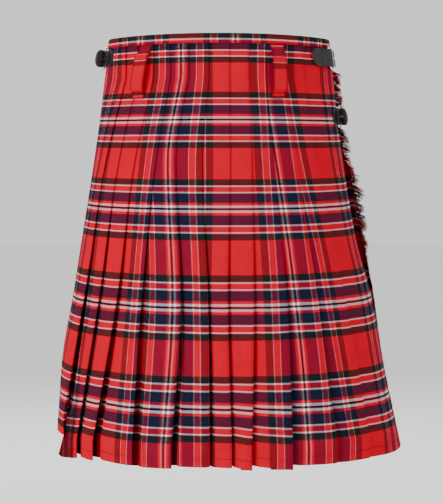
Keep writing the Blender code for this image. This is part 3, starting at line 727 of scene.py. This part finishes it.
def over_apron():
    """The front panel: from the frayed edge across the front to its crease at the wearer's left and
    back under it, with long soft waves."""
    lines = []
    for down in ROWS:
        down = float(down)
        start, end = fringe_edge(down) - Ring.at(down).length, crease(0, down)
        t = np.linspace(0, 1, FRONT)
        along = start + t * (end - start)
        near = np.maximum(1 - (along - start) / LIFT_REACH, 0.0)
        deep = -fringe_lift(down) * near ** 2
        deep = deep - ramp(down, *WAVES_DOWN) * sum(
            size * bump(t, middle, width) for middle, width, size in WAVES)
        far, far_deep = turned_under(end, deep[-1], inner_fold(0, down), stand(0, down) - FOLD_MEETS)
        along, deep = np.concatenate([along, far]), np.concatenate([deep, far_deep])
        length = distance(along, deep)
        lines.append((along, deep, length - length[FRONT - 1]))
    along, deep, length = grids(lines)
    rise = APRON_HEM_RISE * ramp(np.linspace(0, 1, along.shape[1]), *APRON_RISE_ACROSS)
    # The part that is turned under hangs down to the hem
    rise[-HIDDEN:] *= 1 - ease(np.linspace(0, 1, HIDDEN) / APRON_TURN_HANGS)
    lower = ((ROWS - APRON_RISE_FROM) / (LENGTH - APRON_RISE_FROM)).clip(0, 1)[:, None] * rise
    downs = ROWS[:, None] - lower
    points = place(ROWS, along, deep)
    points[..., 2] += lower
    # The stripes fan out from the middle of the front in straight lines. The crease bows across the
    # grain, so the stripes beside it lean
    at_crease = (smooth(ROWS, PHASE_DOWN, PHASES[0]) / (2 * HALF))[:, None]
    middle = np.array([float(Ring.at(down).turned(-180)) for down in ROWS])[:, None]
    wide = along[:, FRONT - 1:FRONT] - middle
    straight = wide[0] + (wide[-1] - wide[0]) * ((ROWS - ROWS[0]) / (ROWS[-1] - ROWS[0]))[:, None]
    fan = (wide[0] / SETT + at_crease - at_crease[0]) / straight
    phase = at_crease[0] - wide[0] / SETT + (along - middle) * fan
    lean = at_crease - (at_crease[0] - wide[0] / SETT + wide * fan)
    phase = np.where(length > 0, at_crease + length / SETT,
                     phase + lean * ease(1 + length / GRAIN_LEANS))
    return points, cloth_map(phase, downs)


def under_apron():
    """From the last pleat's hidden fold round the wearer's right side and inside the over apron."""
    lines = []
    for down in ROWS:
        down = float(down)
        ring, edge = Ring.at(down), fringe_edge(down)
        fold, here, opening = inner_fold(LAST, down), crease(LAST, down), stand(LAST, down)
        flat, inner = edge - UNDER_STEP[0], edge - UNDER_STEP[1]
        hidden = float(panel_depth(LAST, down, 1 - UNDERLAY))
        t, s = np.linspace(0, 1, HIDDEN)[:-1], np.linspace(0, 1, 40)[:-1]
        end = float(ring.turned(UNDER_END))
        far = flat + np.linspace(0, 1, 90) * (end - flat)
        along = np.concatenate([fold + t * (here - fold), here + s * (flat - here), far])
        deep = np.concatenate([hidden + opening - t * hidden, opening * np.maximum(1 - s / 0.5, 0) ** 2,
                               UNDER_DEEP * ease((far - flat) / (inner - flat))])
        length = distance(along, deep)
        lines.append((along, deep, length - length[HIDDEN - 1]))
    along, deep, length = grids(lines)
    start = smooth(ROWS, PHASE_DOWN, UNDER_PHASE)[:, None]
    phase = start / (2 * HALF) + length / SETT
    return place(ROWS, along, deep), cloth_map(phase, ROWS[:, None])


front, front_map = over_apron()
apron = shell("apron_over", front, front_map, WALL, CLOTH_MAT)
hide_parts("over_apron")
beneath, beneath_map = under_apron()
lining = shell("apron_under", beneath, beneath_map, WALL, CLOTH_MAT)
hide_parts("under_apron")


def sides(points):
    """Mean width and height of a grid of points, as cloth laid flat."""
    wide = np.linalg.norm(np.diff(points, axis=1), axis=-1).sum(axis=1).mean()
    tall = np.linalg.norm(np.diff(points, axis=0), axis=-1).sum(axis=0).mean()
    return round(float(wide), 3), round(float(tall), 3)


# ---------------------------------------------------------------- waistband
BAND_SETT = 0.138             # the band is cut on the straight, and pressed a little narrower
BAND_MIDDLE = 0.0229          # along at one of the band's black lines
BAND_WHITE = 0.0085           # from the top edge down to the band's white line
SEAT_WHITE = 20.5             # that line's place in the pattern, in the units of the stripes
STACK = 1.35                  # depth of the flat layers at a pleat, as a share of its opening
BAND_OVER = 0.0014            # height of the half ellipse over the top edge
BAND_PUFF = 0.0005


def layers_at(along, down):
    """Outermost and innermost depth of the cloth under the waistband, for an array of along."""
    edge = fringe_edge(down)
    deep = STACK * stand(LAST, down)
    here = crease(LAST, down)
    low = np.interp(along, (edge - UNDER_STEP[0], edge - UNDER_STEP[1]), (0.0, UNDER_DEEP))
    high = np.interp(along, (here + 0.002, edge - UNDER_STEP[0], edge - UNDER_STEP[1]),
                     (deep, deep, UNDER_DEEP))
    fold = inner_fold(0, down)
    front = np.interp(along, (fold - 0.024, fold - 0.012), (0.0, STACK * stand(0, down)))
    return np.where(along > 0, low, 0.0), np.where(along > 0, high, front)


def waistband():
    """A strip folded over the top edge. Its section is a long U: down the outside, a half ellipse
    over the edge and down the inside. It runs from the under apron's free edge round the back and on
    round the front to the frayed edge."""
    t = np.linspace(0, 1, 560)
    outer = np.concatenate([[0.0, 0.0004, 0.0012], np.linspace(0.0025, BAND_TALL - 0.0016, 7)])
    turn = np.radians(np.linspace(15, 165, 7))
    inner = np.linspace(BAND_TALL - 0.0030, 0.0, 6)
    rows, alongs = [], []
    downs = np.concatenate([BAND_TALL - outer, BAND_OVER * (1 - np.sin(turn)), BAND_TALL - inner])
    side = np.concatenate([outer * 0 - 1, -np.cos(turn), inner * 0 + 1])
    puff = np.concatenate([BAND_PUFF * np.sin(np.pi * outer / BAND_TALL), turn * 0, inner * 0])
    for down, s, p in zip(downs, side, puff):
        ring = Ring.at(down)
        start, end = float(ring.turned(UNDER_END)), fringe_edge(down) - ring.length
        along = start + t * (end - start)
        low, high = layers_at(along, down)
        out, into = low - CLOTH - SEAM, high + CLOTH + SEAM
        rows.append(ring.points(along, (out + into) / 2 + s * (into - out) / 2 - p))
        alongs.append(along)
    points, along = np.array(rows), np.array(alongs)
    from_top = np.concatenate([BAND_TALL - outer, turn * 0, -(BAND_TALL - inner)])[:, None]
    u = 0.5 + (along - BAND_MIDDLE) / BAND_SETT
    v = 0.5 + SEAT_WHITE / (2 * HALF) + (BAND_WHITE - np.abs(from_top)) / SETT + 0 * along
    return points, np.stack([u, v], axis=-1)


band, band_map = waistband()
band_item = shell("band", band, band_map, CLOTH * 0.75, CLOTH_MAT)
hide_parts("waistband")


def followed(at, shares, values):
    """Points or directions at places between those of a line."""
    return np.stack([np.interp(at, shares, values[:, k]) for k in range(3)], axis=-1)


def stitches(name, path, outward, count, long, thick):
    """Red stitches along a path: each is a short thread that rises out of the cloth, lies on it and
    dips back in. path and outward give points and directions off the cloth for shares 0 to 1."""
    middle = (np.arange(count) + 0.5) / count
    length = np.linalg.norm(np.diff(path(np.linspace(0, 1, 200)), axis=0), axis=1).sum()
    t = np.linspace(-0.5, 0.5, 6)
    at = np.clip(middle[:, None] + t[None, :] * long / length, 0, 1)
    rise = thick * (0.75 - 2.6 * np.abs(t) ** 2.4 * 2)
    places = path(at.ravel()).reshape(count, 6, 3)
    off = outward(at.ravel()).reshape(count, 6, 3)
    return tubes(name, places + off * rise[None, :, None], thick / 2, 5, THREAD_RED)


def along_grid(points, row, lift, first, last):
    """A path along one row of a grid of points, lifted off it, and the directions off it there."""
    normal = grid_normals(points)
    centre = points.mean(axis=(0, 1))
    if ((points - centre) * normal)[..., :2].sum() < 0:
        normal = -normal
    line, off = points[row] + normal[row] * lift, normal[row]
    share = np.linspace(0, 1, len(line))

    def at(values):
        return lambda t: followed(first + t * (last - first), share, values)
    return at(line), at(off)


band_path, band_off = along_grid(band, 2, CLOTH * 0.375, 0.0, 1.0)
band_seam = stitches("band_stitches", band_path, band_off, 420, 0.0021, 0.0006)
sides(band)

# ---------------------------------------------------------------- hem stitches
HEM_TURN = 0.0125             # from the hem up to its line of stitches
STITCH_APART = 0.0042


def hem_stitches(name, points, first, last):
    """A line of stitches across one panel of a grid of points."""
    row = int(np.argmin(np.abs(ROWS - (LENGTH - HEM_TURN))))
    panel = points[row - 1:row + 2, first:last]
    path, off = along_grid(panel, 1, CLOTH * 0.4, 0.03, 0.97)
    wide = float(np.linalg.norm(np.diff(panel[1], axis=0), axis=1).sum())
    return stitches(name, path, off, max(int(wide / STITCH_APART), 3), 0.0028, 0.0005)


per_pleat = (HIDDEN - 1) + PANEL + len(TURN) + HIDDEN
for side, grid, sheet_of in (("left", left_grid, left_pleats), ("right", right_grid, right_pleats)):
    for k in range(grid.shape[1] // per_pleat):
        start = k * per_pleat + HIDDEN - 1
        hem_stitches(f"hem_{side}_{k + 1}", grid, start + 3, start + PANEL)
    sides(grid)
hem_under = hem_stitches("hem_under", beneath, HIDDEN + 2, HIDDEN + 28)
sides(beneath)
hem_over = hem_stitches("hem_over", front, 2, FRONT - 2)

# ---------------------------------------------------------------- belt loops
LOOP_WIDE = 0.020
LOOP_THICK = 0.0016
LOOP_STAND = 0.0100
LOOP_TOP, LOOP_BOTTOM = 0.0150, 0.0905
LOOP_BENDS = np.array([(0.0, 0.0), (0.08, 0.0), (0.17, 0.75), (0.28, 1.0), (0.42, 1.06), (0.58, 1.06),
                       (0.72, 1.0), (0.83, 0.75), (0.92, 0.0), (1.0, 0.0)])
LOOP_FOOT = CLOTH / 2 + SEAM + LOOP_THICK / 2
# Name, CAD node, and the middle of the top and the bottom across the back
LOOPS = [("loop_left", "belt_loop_left", -0.102, -0.113),
         ("loop_right", "belt_loop_right", 0.081, 0.083)]
LOOP_EDGE, LOOP_SHADE = 0.35, 0.45            # how much thinner the long edges are, and how much painted shade darkens them
LOOP_CREASE_SHADE = (0.7, 0.905, 0.012)             # painted shade line above its foot: depth, place down it, width
# How much lower the middle of its face lies, and two ridges across it: height, place down it, width
LOOP_HOLLOW, LOOP_RIDGES = 0.0003, [(0.0006, 0.92, 0.01), (0.0003, 0.5, 0.3)]
LOOP_MAP = 0.02               # the weft's place in the pattern along its middle
LOOP_SEAM = (0.0017, 0.0005)  # length and thickness of its stitches
# The loops are cut across the cloth, so that warp stripes cross them. Place down each loop, and the
# place in the stripes there
LOOP_STRIPES = {
    "loop_left": [(0.0, 6.0), (0.0131, 14.7), (0.0221, 20.5), (0.0235, 21.0), (0.0290, 26.8),
                  (0.0655, 56.2), (0.0712, 62.0), (0.0755, 66.0)],
    "loop_right": [(0.0, 0.5), (0.0050, 4.6), (0.0179, 14.7), (0.0261, 20.5), (0.0273, 21.0),
                   (0.0347, 26.8), (0.0730, 56.2), (0.0755, 58.0)]}


def belt_loop(top, bottom):
    """A folded strip that is flat on the cloth at both ends and arched between them. Its long edges
    are rolled, and the face between them is a little hollow."""
    share = np.unique(np.concatenate([np.linspace(0, 1, 70), np.linspace(0.88, 1.0, 16)]))
    across = np.sin(np.linspace(-1, 1, 15) * math.pi / 2)
    arch = smooth(share, LOOP_BENDS[:, 0], LOOP_BENDS[:, 1])
    rows = []
    for t, out in zip(share, arch):
        ring = Ring.at(LOOP_TOP + t * (LOOP_BOTTOM - LOOP_TOP))
        deep = -LOOP_FOOT - out * (LOOP_STAND - LOOP_FOOT) + LOOP_HOLLOW * (1 - across ** 2)
        for size, middle, width in LOOP_RIDGES:
            deep = deep - size * bump(t, middle, width)
        rows.append(ring.points(ring.across(top + t * (bottom - top)) + across * LOOP_WIDE / 2, deep))
    return np.array(rows), share, across


for name, old, top, bottom in LOOPS:
    points, share, across = belt_loop(top, bottom)
    at, stripe = np.array(LOOP_STRIPES[name]).T
    u = 0.5 + np.interp(share * (LOOP_BOTTOM - LOOP_TOP), at, stripe) / (2 * HALF)
    v = LOOP_MAP + across * LOOP_WIDE / 2 / SETT
    uv = np.stack(np.broadcast_arrays(u[:, None], v[None, :]), axis=-1)
    thick = LOOP_THICK * (1 - LOOP_EDGE * across[None, :] ** 8)
    size, middle, width = LOOP_CREASE_SHADE
    # painted shade along the long edges and in the crease above the foot
    shade = LOOP_SHADE * np.abs(across[None, :]) ** 14 + size * bump(share[:, None], middle, width)
    item = shell(name, points, uv, thick * 0.9, CLOTH_MAT, fold=np.clip(shade, 0, 1))
    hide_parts(old)
    for edge, grid, row, inset, count in (
            ("a", points.transpose(1, 0, 2), 2, 0.0, 32),
            ("b", points.transpose(1, 0, 2), len(across) - 3, 0.0, 32),
            ("top", points, int(np.argmin(np.abs(share - 0.04))), 0.06, 9),
            ("foot", points, int(np.argmin(np.abs(share - 0.965))), 0.06, 9)):
        path, off = along_grid(grid, row, LOOP_THICK * 0.45, inset, 1 - inset)
        stitches(f"{name}_stitches_{edge}", path, off, count, *LOOP_SEAM)
    sides(points)

# ---------------------------------------------------------------- frayed edge
FRAY_FROM, FRAY_TO = 0.046, 0.556
FRAY_PITCH = 0.00020
FRAY_LONG = (0.009, 0.0185)
FRAY_SPLAY = (22, 66)         # degrees out from the cloth
STRAP_FREE = (0.115, 0.0155)  # no loose threads this near the hip strap
TUFT, TUFT_UNEVEN, TUFT_WAVES = 0.0052, 0.35, 410
SPLAY_MIDDLE, SPLAY_TUFT, SPLAY_OWN = 0.5, 0.38, 0.22      # shares of FRAY_SPLAY
LONG_TUFT, LONG_OWN = 0.65, 0.35                          # and of FRAY_LONG
DROOP, DROOP_TUFT, DROOP_OWN = 0.30, 0.25, 0.12
FRAY_LIES, LIES_FLAT, LIES_SHORT = (0.25, 0.11), 0.85, 0.4     # from where down they lie flatter
FRAY_BUSHY, BUSHY = (0.19, 0.05), 0.22                    # and round where they are longest
# share of each thread's own stripe colour against the painted shade FRAY_DARK, and how much it varies
FRAY_BRIGHT, BRIGHT_VARIES = 0.52, 0.35
WAVER_ALONG, WAVER_DOWN = (0.0009, 5.5), (0.0007, 6.5)    # size, and radians from end to end
FRAY_ROOT = 0.0015            # the threads start this far inside the edge


def frayed_edge():
    """Loose weft threads: each leaves the edge, bends outwards and droops, in tufts that lean
    together, with a small waver of its own."""
    random = np.random.default_rng(7)
    downs = np.arange(FRAY_FROM, FRAY_TO, FRAY_PITCH)
    downs = downs[np.abs(downs - STRAP_FREE[0]) > STRAP_FREE[1]]
    count = len(downs)
    tuft = np.floor(downs / TUFT + TUFT_UNEVEN * np.sin(downs * TUFT_WAVES)).astype(int)
    tuft -= tuft.min()
    lean = random.uniform(-1, 1, tuft.max() + 1)[tuft]
    tall = random.uniform(0, 1, tuft.max() + 1)[tuft]
    splay = np.clip(SPLAY_MIDDLE + SPLAY_TUFT * lean + SPLAY_OWN * random.normal(size=count), 0, 1)
    splay = np.radians(FRAY_SPLAY[0] + (FRAY_SPLAY[1] - FRAY_SPLAY[0]) * splay)
    long = np.clip(LONG_TUFT * tall + LONG_OWN * random.uniform(size=count), 0, 1)
    long = FRAY_LONG[0] + (FRAY_LONG[1] - FRAY_LONG[0]) * long
    lies = ramp(downs, *FRAY_LIES)
    splay = splay * (1 - LIES_FLAT * lies)
    long = long * (1 - LIES_SHORT * lies) * (1 + BUSHY * bump(downs, *FRAY_BUSHY))
    droop = DROOP + DROOP_TUFT * lean + DROOP_OWN * random.normal(size=count)
    phase = random.uniform(0, 2 * math.pi, (2, count))
    t = np.linspace(0, 1, 8)
    paths = []
    for k in range(count):
        ring = Ring.at(round(downs[k], 3))
        reach = long[k] * t
        waver, sags = (size * t * np.sin(turns * t + phase[which, k])
                       for which, (size, turns) in enumerate((WAVER_ALONG, WAVER_DOWN)))
        along = fringe_edge(ring.down) + FRAY_ROOT - SEAM - reach * math.cos(splay[k]) - waver
        deep = -fringe_lift(ring.down) - reach * math.sin(splay[k]) * (0.35 + 0.65 * t)
        row = ring.points(along, deep)
        row[:, 2] += ring.down - downs[k] - droop[k] * long[k] * t ** 2
        row[:, 2] += sags
        paths.append(row)
    # painted shade: threads are darker towards the root, where other threads shade them, and by tufts
    bright = np.clip(FRAY_BRIGHT + BRIGHT_VARIES * (lean + random.normal(size=count)), 0, 1)
    bright = bright[:, None] * (0.4 + 0.6 * t)
    return np.array(paths), cloth_map(bright, downs[:, None]), t


loose, loose_map, t = frayed_edge()
fringe = tubes("frayed_threads", loose, 0.00040 - 0.00016 * t[None, :], 3, YARN,
               uv=loose_map)
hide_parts("apron_fringe")
sides(front)

# ---------------------------------------------------------------- straps and buckles
STRAP_WIDE, CHAPE_WIDE, CHAPE_LONG = 0.0255, 0.0235, 0.045
BUCKLE_LONG, BUCKLE_TALL, BUCKLE_CORNER = 0.0180, 0.0310, 0.003
BAR, PRONG, PRONG_PAST = 0.0014, 0.0009, 0.0022
SWELL = 0.011
CHAPE_TIP, STRAP_TIP = 0.010, 0.012           # length of the rounded ends
PRONG_AT, PRONG_HOLE = 0.0051, 0.0040         # the prong's hole past the back bar, and half its length
STRIP_STEP = 0.0011
SLIT, SLIT_WIDE = 247.5, 0.012                # where the left strap goes inside, in degrees
# Name, side, down, the buckle's place past the side, the strap's tip, how far the tip stands off, the
# strap's sewn end and how far the strap stands off at the wearer's side
STRAPS = [("waist_right", 1, 0.0288, -0.030, 0.042, 0.0000, 0.093, 0.004),
          ("hip_right", 1, 0.1150, -0.004, 0.026, 0.0095, 0.075, 0.000),
          ("waist_left", -1, 0.0288, -0.002, 0.026, 0.0135, 0.085, 0.000)]
REST = CLOTH / 2 + SEAM                       # the lowest that anything lies on the cloth
BAR_DEEP = -(REST + LEATHER + SEAM + BAR)     # the middle of the buckle's wire
WRAP = BAR + SEAM + CHAPE / 2


class Fastening:
    """Points by their distance from the buckle's middle towards the front, their height above the
    strap's middle and their depth."""

    def __init__(self, side, down, past):
        self.side, self.down, self.past = side, down, past

    def points(self, ahead, up, deep):
        """Arrays of one size: the rings are one for each height."""
        ahead, up, deep = np.broadcast_arrays(*(np.asarray(a, float) for a in (ahead, up, deep)))
        out = np.empty(ahead.shape + (3,))
        for level in np.unique(up.round(5)):
            here = np.isclose(up, level, atol=6e-6)
            ring = Ring.at(self.down - level)
            start = float(ring.turned(90 * self.side)) + self.side * self.past
            out[here] = ring.points(start + self.side * ahead[here], deep[here])
        return out


def even(line, step):
    """Places along a line of (ahead, deep) corners, rounded off and evenly spaced."""
    line = np.array(line, float)
    cut = distance(*line.T)
    t = np.linspace(0, cut[-1], max(int(cut[-1] / step), 8))
    ahead, deep = (np.interp(t, cut, line[:, k]) for k in (0, 1))
    for _ in range(3):
        ahead[1:-1] = (ahead[:-2] + 2 * ahead[1:-1] + ahead[2:]) / 4
        deep[1:-1] = (deep[:-2] + 2 * deep[1:-1] + deep[2:]) / 4
    return ahead, deep, t


def strip(name, place, line, thick, wide, tip, holes, old):
    """A leather strip: its outline is straight but for a rounded end of length tip, half an ellipse,
    and its section is flat with edges that thin and turn down. holes says between which places, from
    the rounded end, a slot for the prong is open along its middle."""
    ahead, deep, t = even(line, STRIP_STEP)
    across = np.sin(np.linspace(-1, 1, 19) * math.pi / 2)
    across = np.concatenate([across[:9], [-0.09, 0.09], across[10:]])
    to_tip = 1 - np.clip((t + 0.0004) / tip, 0, 1)
    half_wide = wide / 2 * np.sqrt(np.clip(1 - to_tip ** 2, 0, 1)) ** 0.8
    up = half_wide[:, None] * across[None, :]
    grown = 0.0002 * across[None, :] ** 8
    points = place.points(ahead[:, None] + 0 * up, up.round(4), deep[:, None] + grown)
    keep = np.ones((len(t) - 1, len(across) - 1), bool)
    middle = (t[1:] + t[:-1]) / 2
    narrow = np.abs(across[1:] + across[:-1]) < 0.01
    for start, end in holes:
        keep[np.ix_((middle > start) & (middle < end), narrow)] = False
    uv = np.stack([up, t[:, None] + 0 * up], axis=-1)
    section = thick * (1 - 0.30 * across[None, :] ** 10) * np.ones_like(up)
    normal = grid_normals(points)
    away = place.points(0.0, 0.0, -0.02) - place.points(0.0, 0.0, 0.0)
    outwards = (normal[len(t) // 3, 9] * away).sum() > 0
    item = shell(name, points, uv, section, HIDE, keep=keep,
                 flesh=(0.0, 1.0) if outwards else (1.0, 0.0))
    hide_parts(old)
    return points, normal if outwards else -normal, t


def leather_stitches(name, strip_grid, thick, first, last, inset, count):
    """Two rows of saddle stitches beside the long edges, between two places along the strip."""
    points, normal, t = strip_grid
    middle = (np.arange(count) + 0.5) / count
    s = np.linspace(-0.5, 0.5, 6)
    at = (middle[:, None] + s[None, :] * 0.62 / count).ravel()
    lift = np.tile(thick / 2 + 0.00022 - 0.0022 * np.abs(s) ** 3, count)[:, None]
    places, shares = np.linspace(first, last, 200), np.linspace(0, 1, 200)
    paths = []
    for column in (inset, points.shape[1] - 1 - inset):
        spots, offs = (followed(at, shares, followed(places, t, grid[:, column]))
                       for grid in (points, normal))
        paths.append((spots + offs * lift).reshape(count, 6, 3))
    return tubes(name, np.concatenate(paths), 0.00028, 5, THREAD)


def fastening(name, side, down, past, tip, tip_lift, root, swell):
    """A strap through its buckle, as it is fastened: it comes from the front, passes under the front
    bar and over the back bar, which a stitched tab holds, and ends in a rounded tip."""
    place = Fastening(side, down, past)
    back, front_bar = -BUCKLE_LONG / 2, BUCKLE_LONG / 2
    low = -(REST + LEATHER / 2)
    over = BAR_DEEP - WRAP - CHAPE / 2 - SEAM - LEATHER / 2 - 2 * SEAM
    flap = -(REST + CHAPE / 2)
    tail = flap - CHAPE - SEAM

    line = [(-CHAPE_LONG, flap), (back - 0.018, flap), (back - 0.005, flap), (back, BAR_DEEP + WRAP)]
    turn = np.radians([30, 60, 90, 120, 150, 180])
    line += list(zip(back + WRAP * np.sin(turn), BAR_DEEP + WRAP * np.cos(turn)))
    line += [(back - 0.0075, (BAR_DEEP + tail) / 2), (back - 0.011, tail), (back - 0.017, tail)]
    cut = distance(*np.array(line).T)
    wrapped = (cut[3] - 0.001, cut[10] + 0.001)
    grid = strip("tab_" + name, place, line, CHAPE, CHAPE_WIDE, CHAPE_TIP, [wrapped],
                 "chape_" + name)
    leather_stitches("tab_stitches_" + name, grid, CHAPE, 0.006, cut[1] - 0.004, 3, 9)

    end, laid = back - tip, flap - CHAPE / 2 - SEAM - LEATHER / 2
    if tip_lift:
        bend = back - 0.005
        line = [(end + share * (bend - end), over - tip_lift * (1 - share) ** 2)
                for share in np.linspace(0, 1, 12)]
    else:
        bend = back - 0.025
        line = [(end + share * (bend - end), laid) for share in np.linspace(0, 1, 12)]
        line += [(back - 0.018, laid - CHAPE - 2 * SEAM), (back - 0.005, over)]
    line.append((-0.0090, over))
    prong_at = float(distance(*np.array(line).T)[-1]) + PRONG_AT
    line += [(0.0008, low + (over - low) * 0.34), (0.006, low)]
    if side > 0:
        line += [(ahead, low - swell * bump(ahead + past, 0, SWELL))
                 for ahead in np.linspace(0.0115, root, 50)]
    else:
        ring = Ring.at(down)
        far = float(ring.turned(-90) - ring.turned(SLIT - 360)) - past
        inner = UNDER_DEEP - CLOTH / 2 - SEAM - LEATHER / 2
        line += [(far - SLIT_WIDE, low), (far, -low), (far + 0.003, inner), (root, inner)]
    holes = [(prong_at - PRONG_HOLE, prong_at + PRONG_HOLE)]
    strip("strap_leather_" + name, place, line, LEATHER, STRAP_WIDE, STRAP_TIP, holes,
          "strap_" + name)

    # The wire frame: a rectangle with round corners
    half, corner = BUCKLE_TALL / 2, BUCKLE_CORNER
    turn = np.radians(np.linspace(0, 90, 7))
    ahead, up = [], []
    for x, y, first in ((front_bar, half, 0), (back, half, 1), (back, -half, 2), (front_bar, -half, 3)):
        angle = turn + math.radians(90 * first)
        ahead.append(x - math.copysign(corner, x) + corner * np.cos(angle))
        up.append(y - math.copysign(corner, y) + corner * np.sin(angle))
    ahead, up = np.concatenate(ahead), np.concatenate(up)
    t = np.arange(len(ahead) + 1)
    fine = np.linspace(0, len(ahead), 113)[:-1]
    ahead = np.interp(fine, t, np.append(ahead, ahead[0]))
    up = np.interp(fine, t, np.append(up, up[0]))
    frame_path = place.points(ahead, up.round(4), BAR_DEEP)
    item = tubes("frame_" + name, frame_path[None], BAR, 12, NICKEL, closed=True)
    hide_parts("buckle_" + name)
    reach = BAR + SEAM + PRONG
    turn = np.radians(np.linspace(-150, 0, 14))
    loop_ahead = back + reach * np.sin(turn)
    loop_deep = BAR_DEEP - reach * np.cos(turn)
    run = np.linspace(0, 1, 16)[1:]
    ahead = np.concatenate([loop_ahead, back + run * (front_bar + PRONG_PAST - back)])
    deep = np.concatenate([loop_deep, BAR_DEEP - reach + 0 * run])
    thin = np.concatenate([0 * turn + 1, 1 - 0.35 * run ** 3])
    thin[-1] = 0.35
    item = tubes("tongue_" + name, place.points(ahead, 0.0, deep)[None], PRONG * thin[None], 10, NICKEL)
    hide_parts("prong_" + name)


for row in STRAPS:
    fastening(*row)

# ---------------------------------------------------------------- floor, light and camera
FLOOR = -0.86
FLOOR_RINGS, FLOOR_SIDES = (1.0, 3.0, 7.0, 14.0), 96
turn = np.linspace(0, 2 * math.pi, FLOOR_SIDES + 1)[:-1]
disc = [(0, 0, FLOOR)] + [(r * np.cos(a), r * np.sin(a), FLOOR) for r in FLOOR_RINGS for a in turn]
faces = []
for k in range(FLOOR_SIDES):
    after = (k + 1) % FLOOR_SIDES
    faces.append((0, 1 + k, 1 + after))
    for a in range(1, len(disc) - FLOOR_SIDES, FLOOR_SIDES):
        faces.append((a + k, a + FLOOR_SIDES + k, a + FLOOR_SIDES + after, a + after))
floor_mesh = bpy.data.meshes.new("floor")
floor_mesh.from_pydata(disc, [], faces)
floor = bpy.data.objects.new("floor", floor_mesh)
bpy.context.scene.collection.objects.link(floor)
pale, tree, shader = material_tree("pale floor", 0.9, Specular_IOR_Level=0.1)
dress(shader, mix(noise(tree, 1.2), (0.90, 0.90, 0.90), (0.93, 0.93, 0.93)))
floor_mesh.materials.append(pale)

world = bpy.data.worlds.new("studio")
bpy.context.scene.world = world
world.use_nodes = True
world.node_tree.nodes["Background"].inputs["Color"].default_value = (1.0, 1.0, 1.0, 1.0)
world.node_tree.nodes["Background"].inputs["Strength"].default_value = 1.0


LIT = (0, 0, -0.27)


def lamp(name, where, size, power):
    """A square soft light that faces the kilt's middle. A light looks down its own -Z."""
    data = bpy.data.lights.new(name, "AREA")
    data.size, data.energy = size, power
    item = bpy.data.objects.new(name, data)
    item.location = where
    item.rotation_euler = Vector(np.subtract(LIT, where)).to_track_quat("-Z", "Y").to_euler()
    bpy.context.scene.collection.objects.link(item)


lamp("key", (2.6, 2.8, 1.2), 1.2, 86)
lamp("fill", (-2.4, 2.8, 0.8), 2.0, 12)
lamp("front", (0.4, -3.0, 1.6), 2.0, 60)

CAMERA_DISTANCE = 4.2
CAMERA_ACROSS = -0.0036
CAMERA_HIGH = -0.0886
CAMERA_DOWN = 2.58            # degrees
SENSOR, PICTURE_TALL, FOCAL = 36.0, 503, 2915    # millimetres, and the picture's height and focal length
camera_data = bpy.data.cameras.new("camera")
camera_data.sensor_width = SENSOR
camera_data.lens = FOCAL * SENSOR / PICTURE_TALL
camera = bpy.data.objects.new("camera", camera_data)
camera.location = (CAMERA_ACROSS, CAMERA_DISTANCE, CAMERA_HIGH)
camera.rotation_euler = (math.radians(90 - CAMERA_DOWN), 0, math.radians(180))
bpy.context.scene.collection.objects.link(camera)
bpy.context.scene.camera = camera
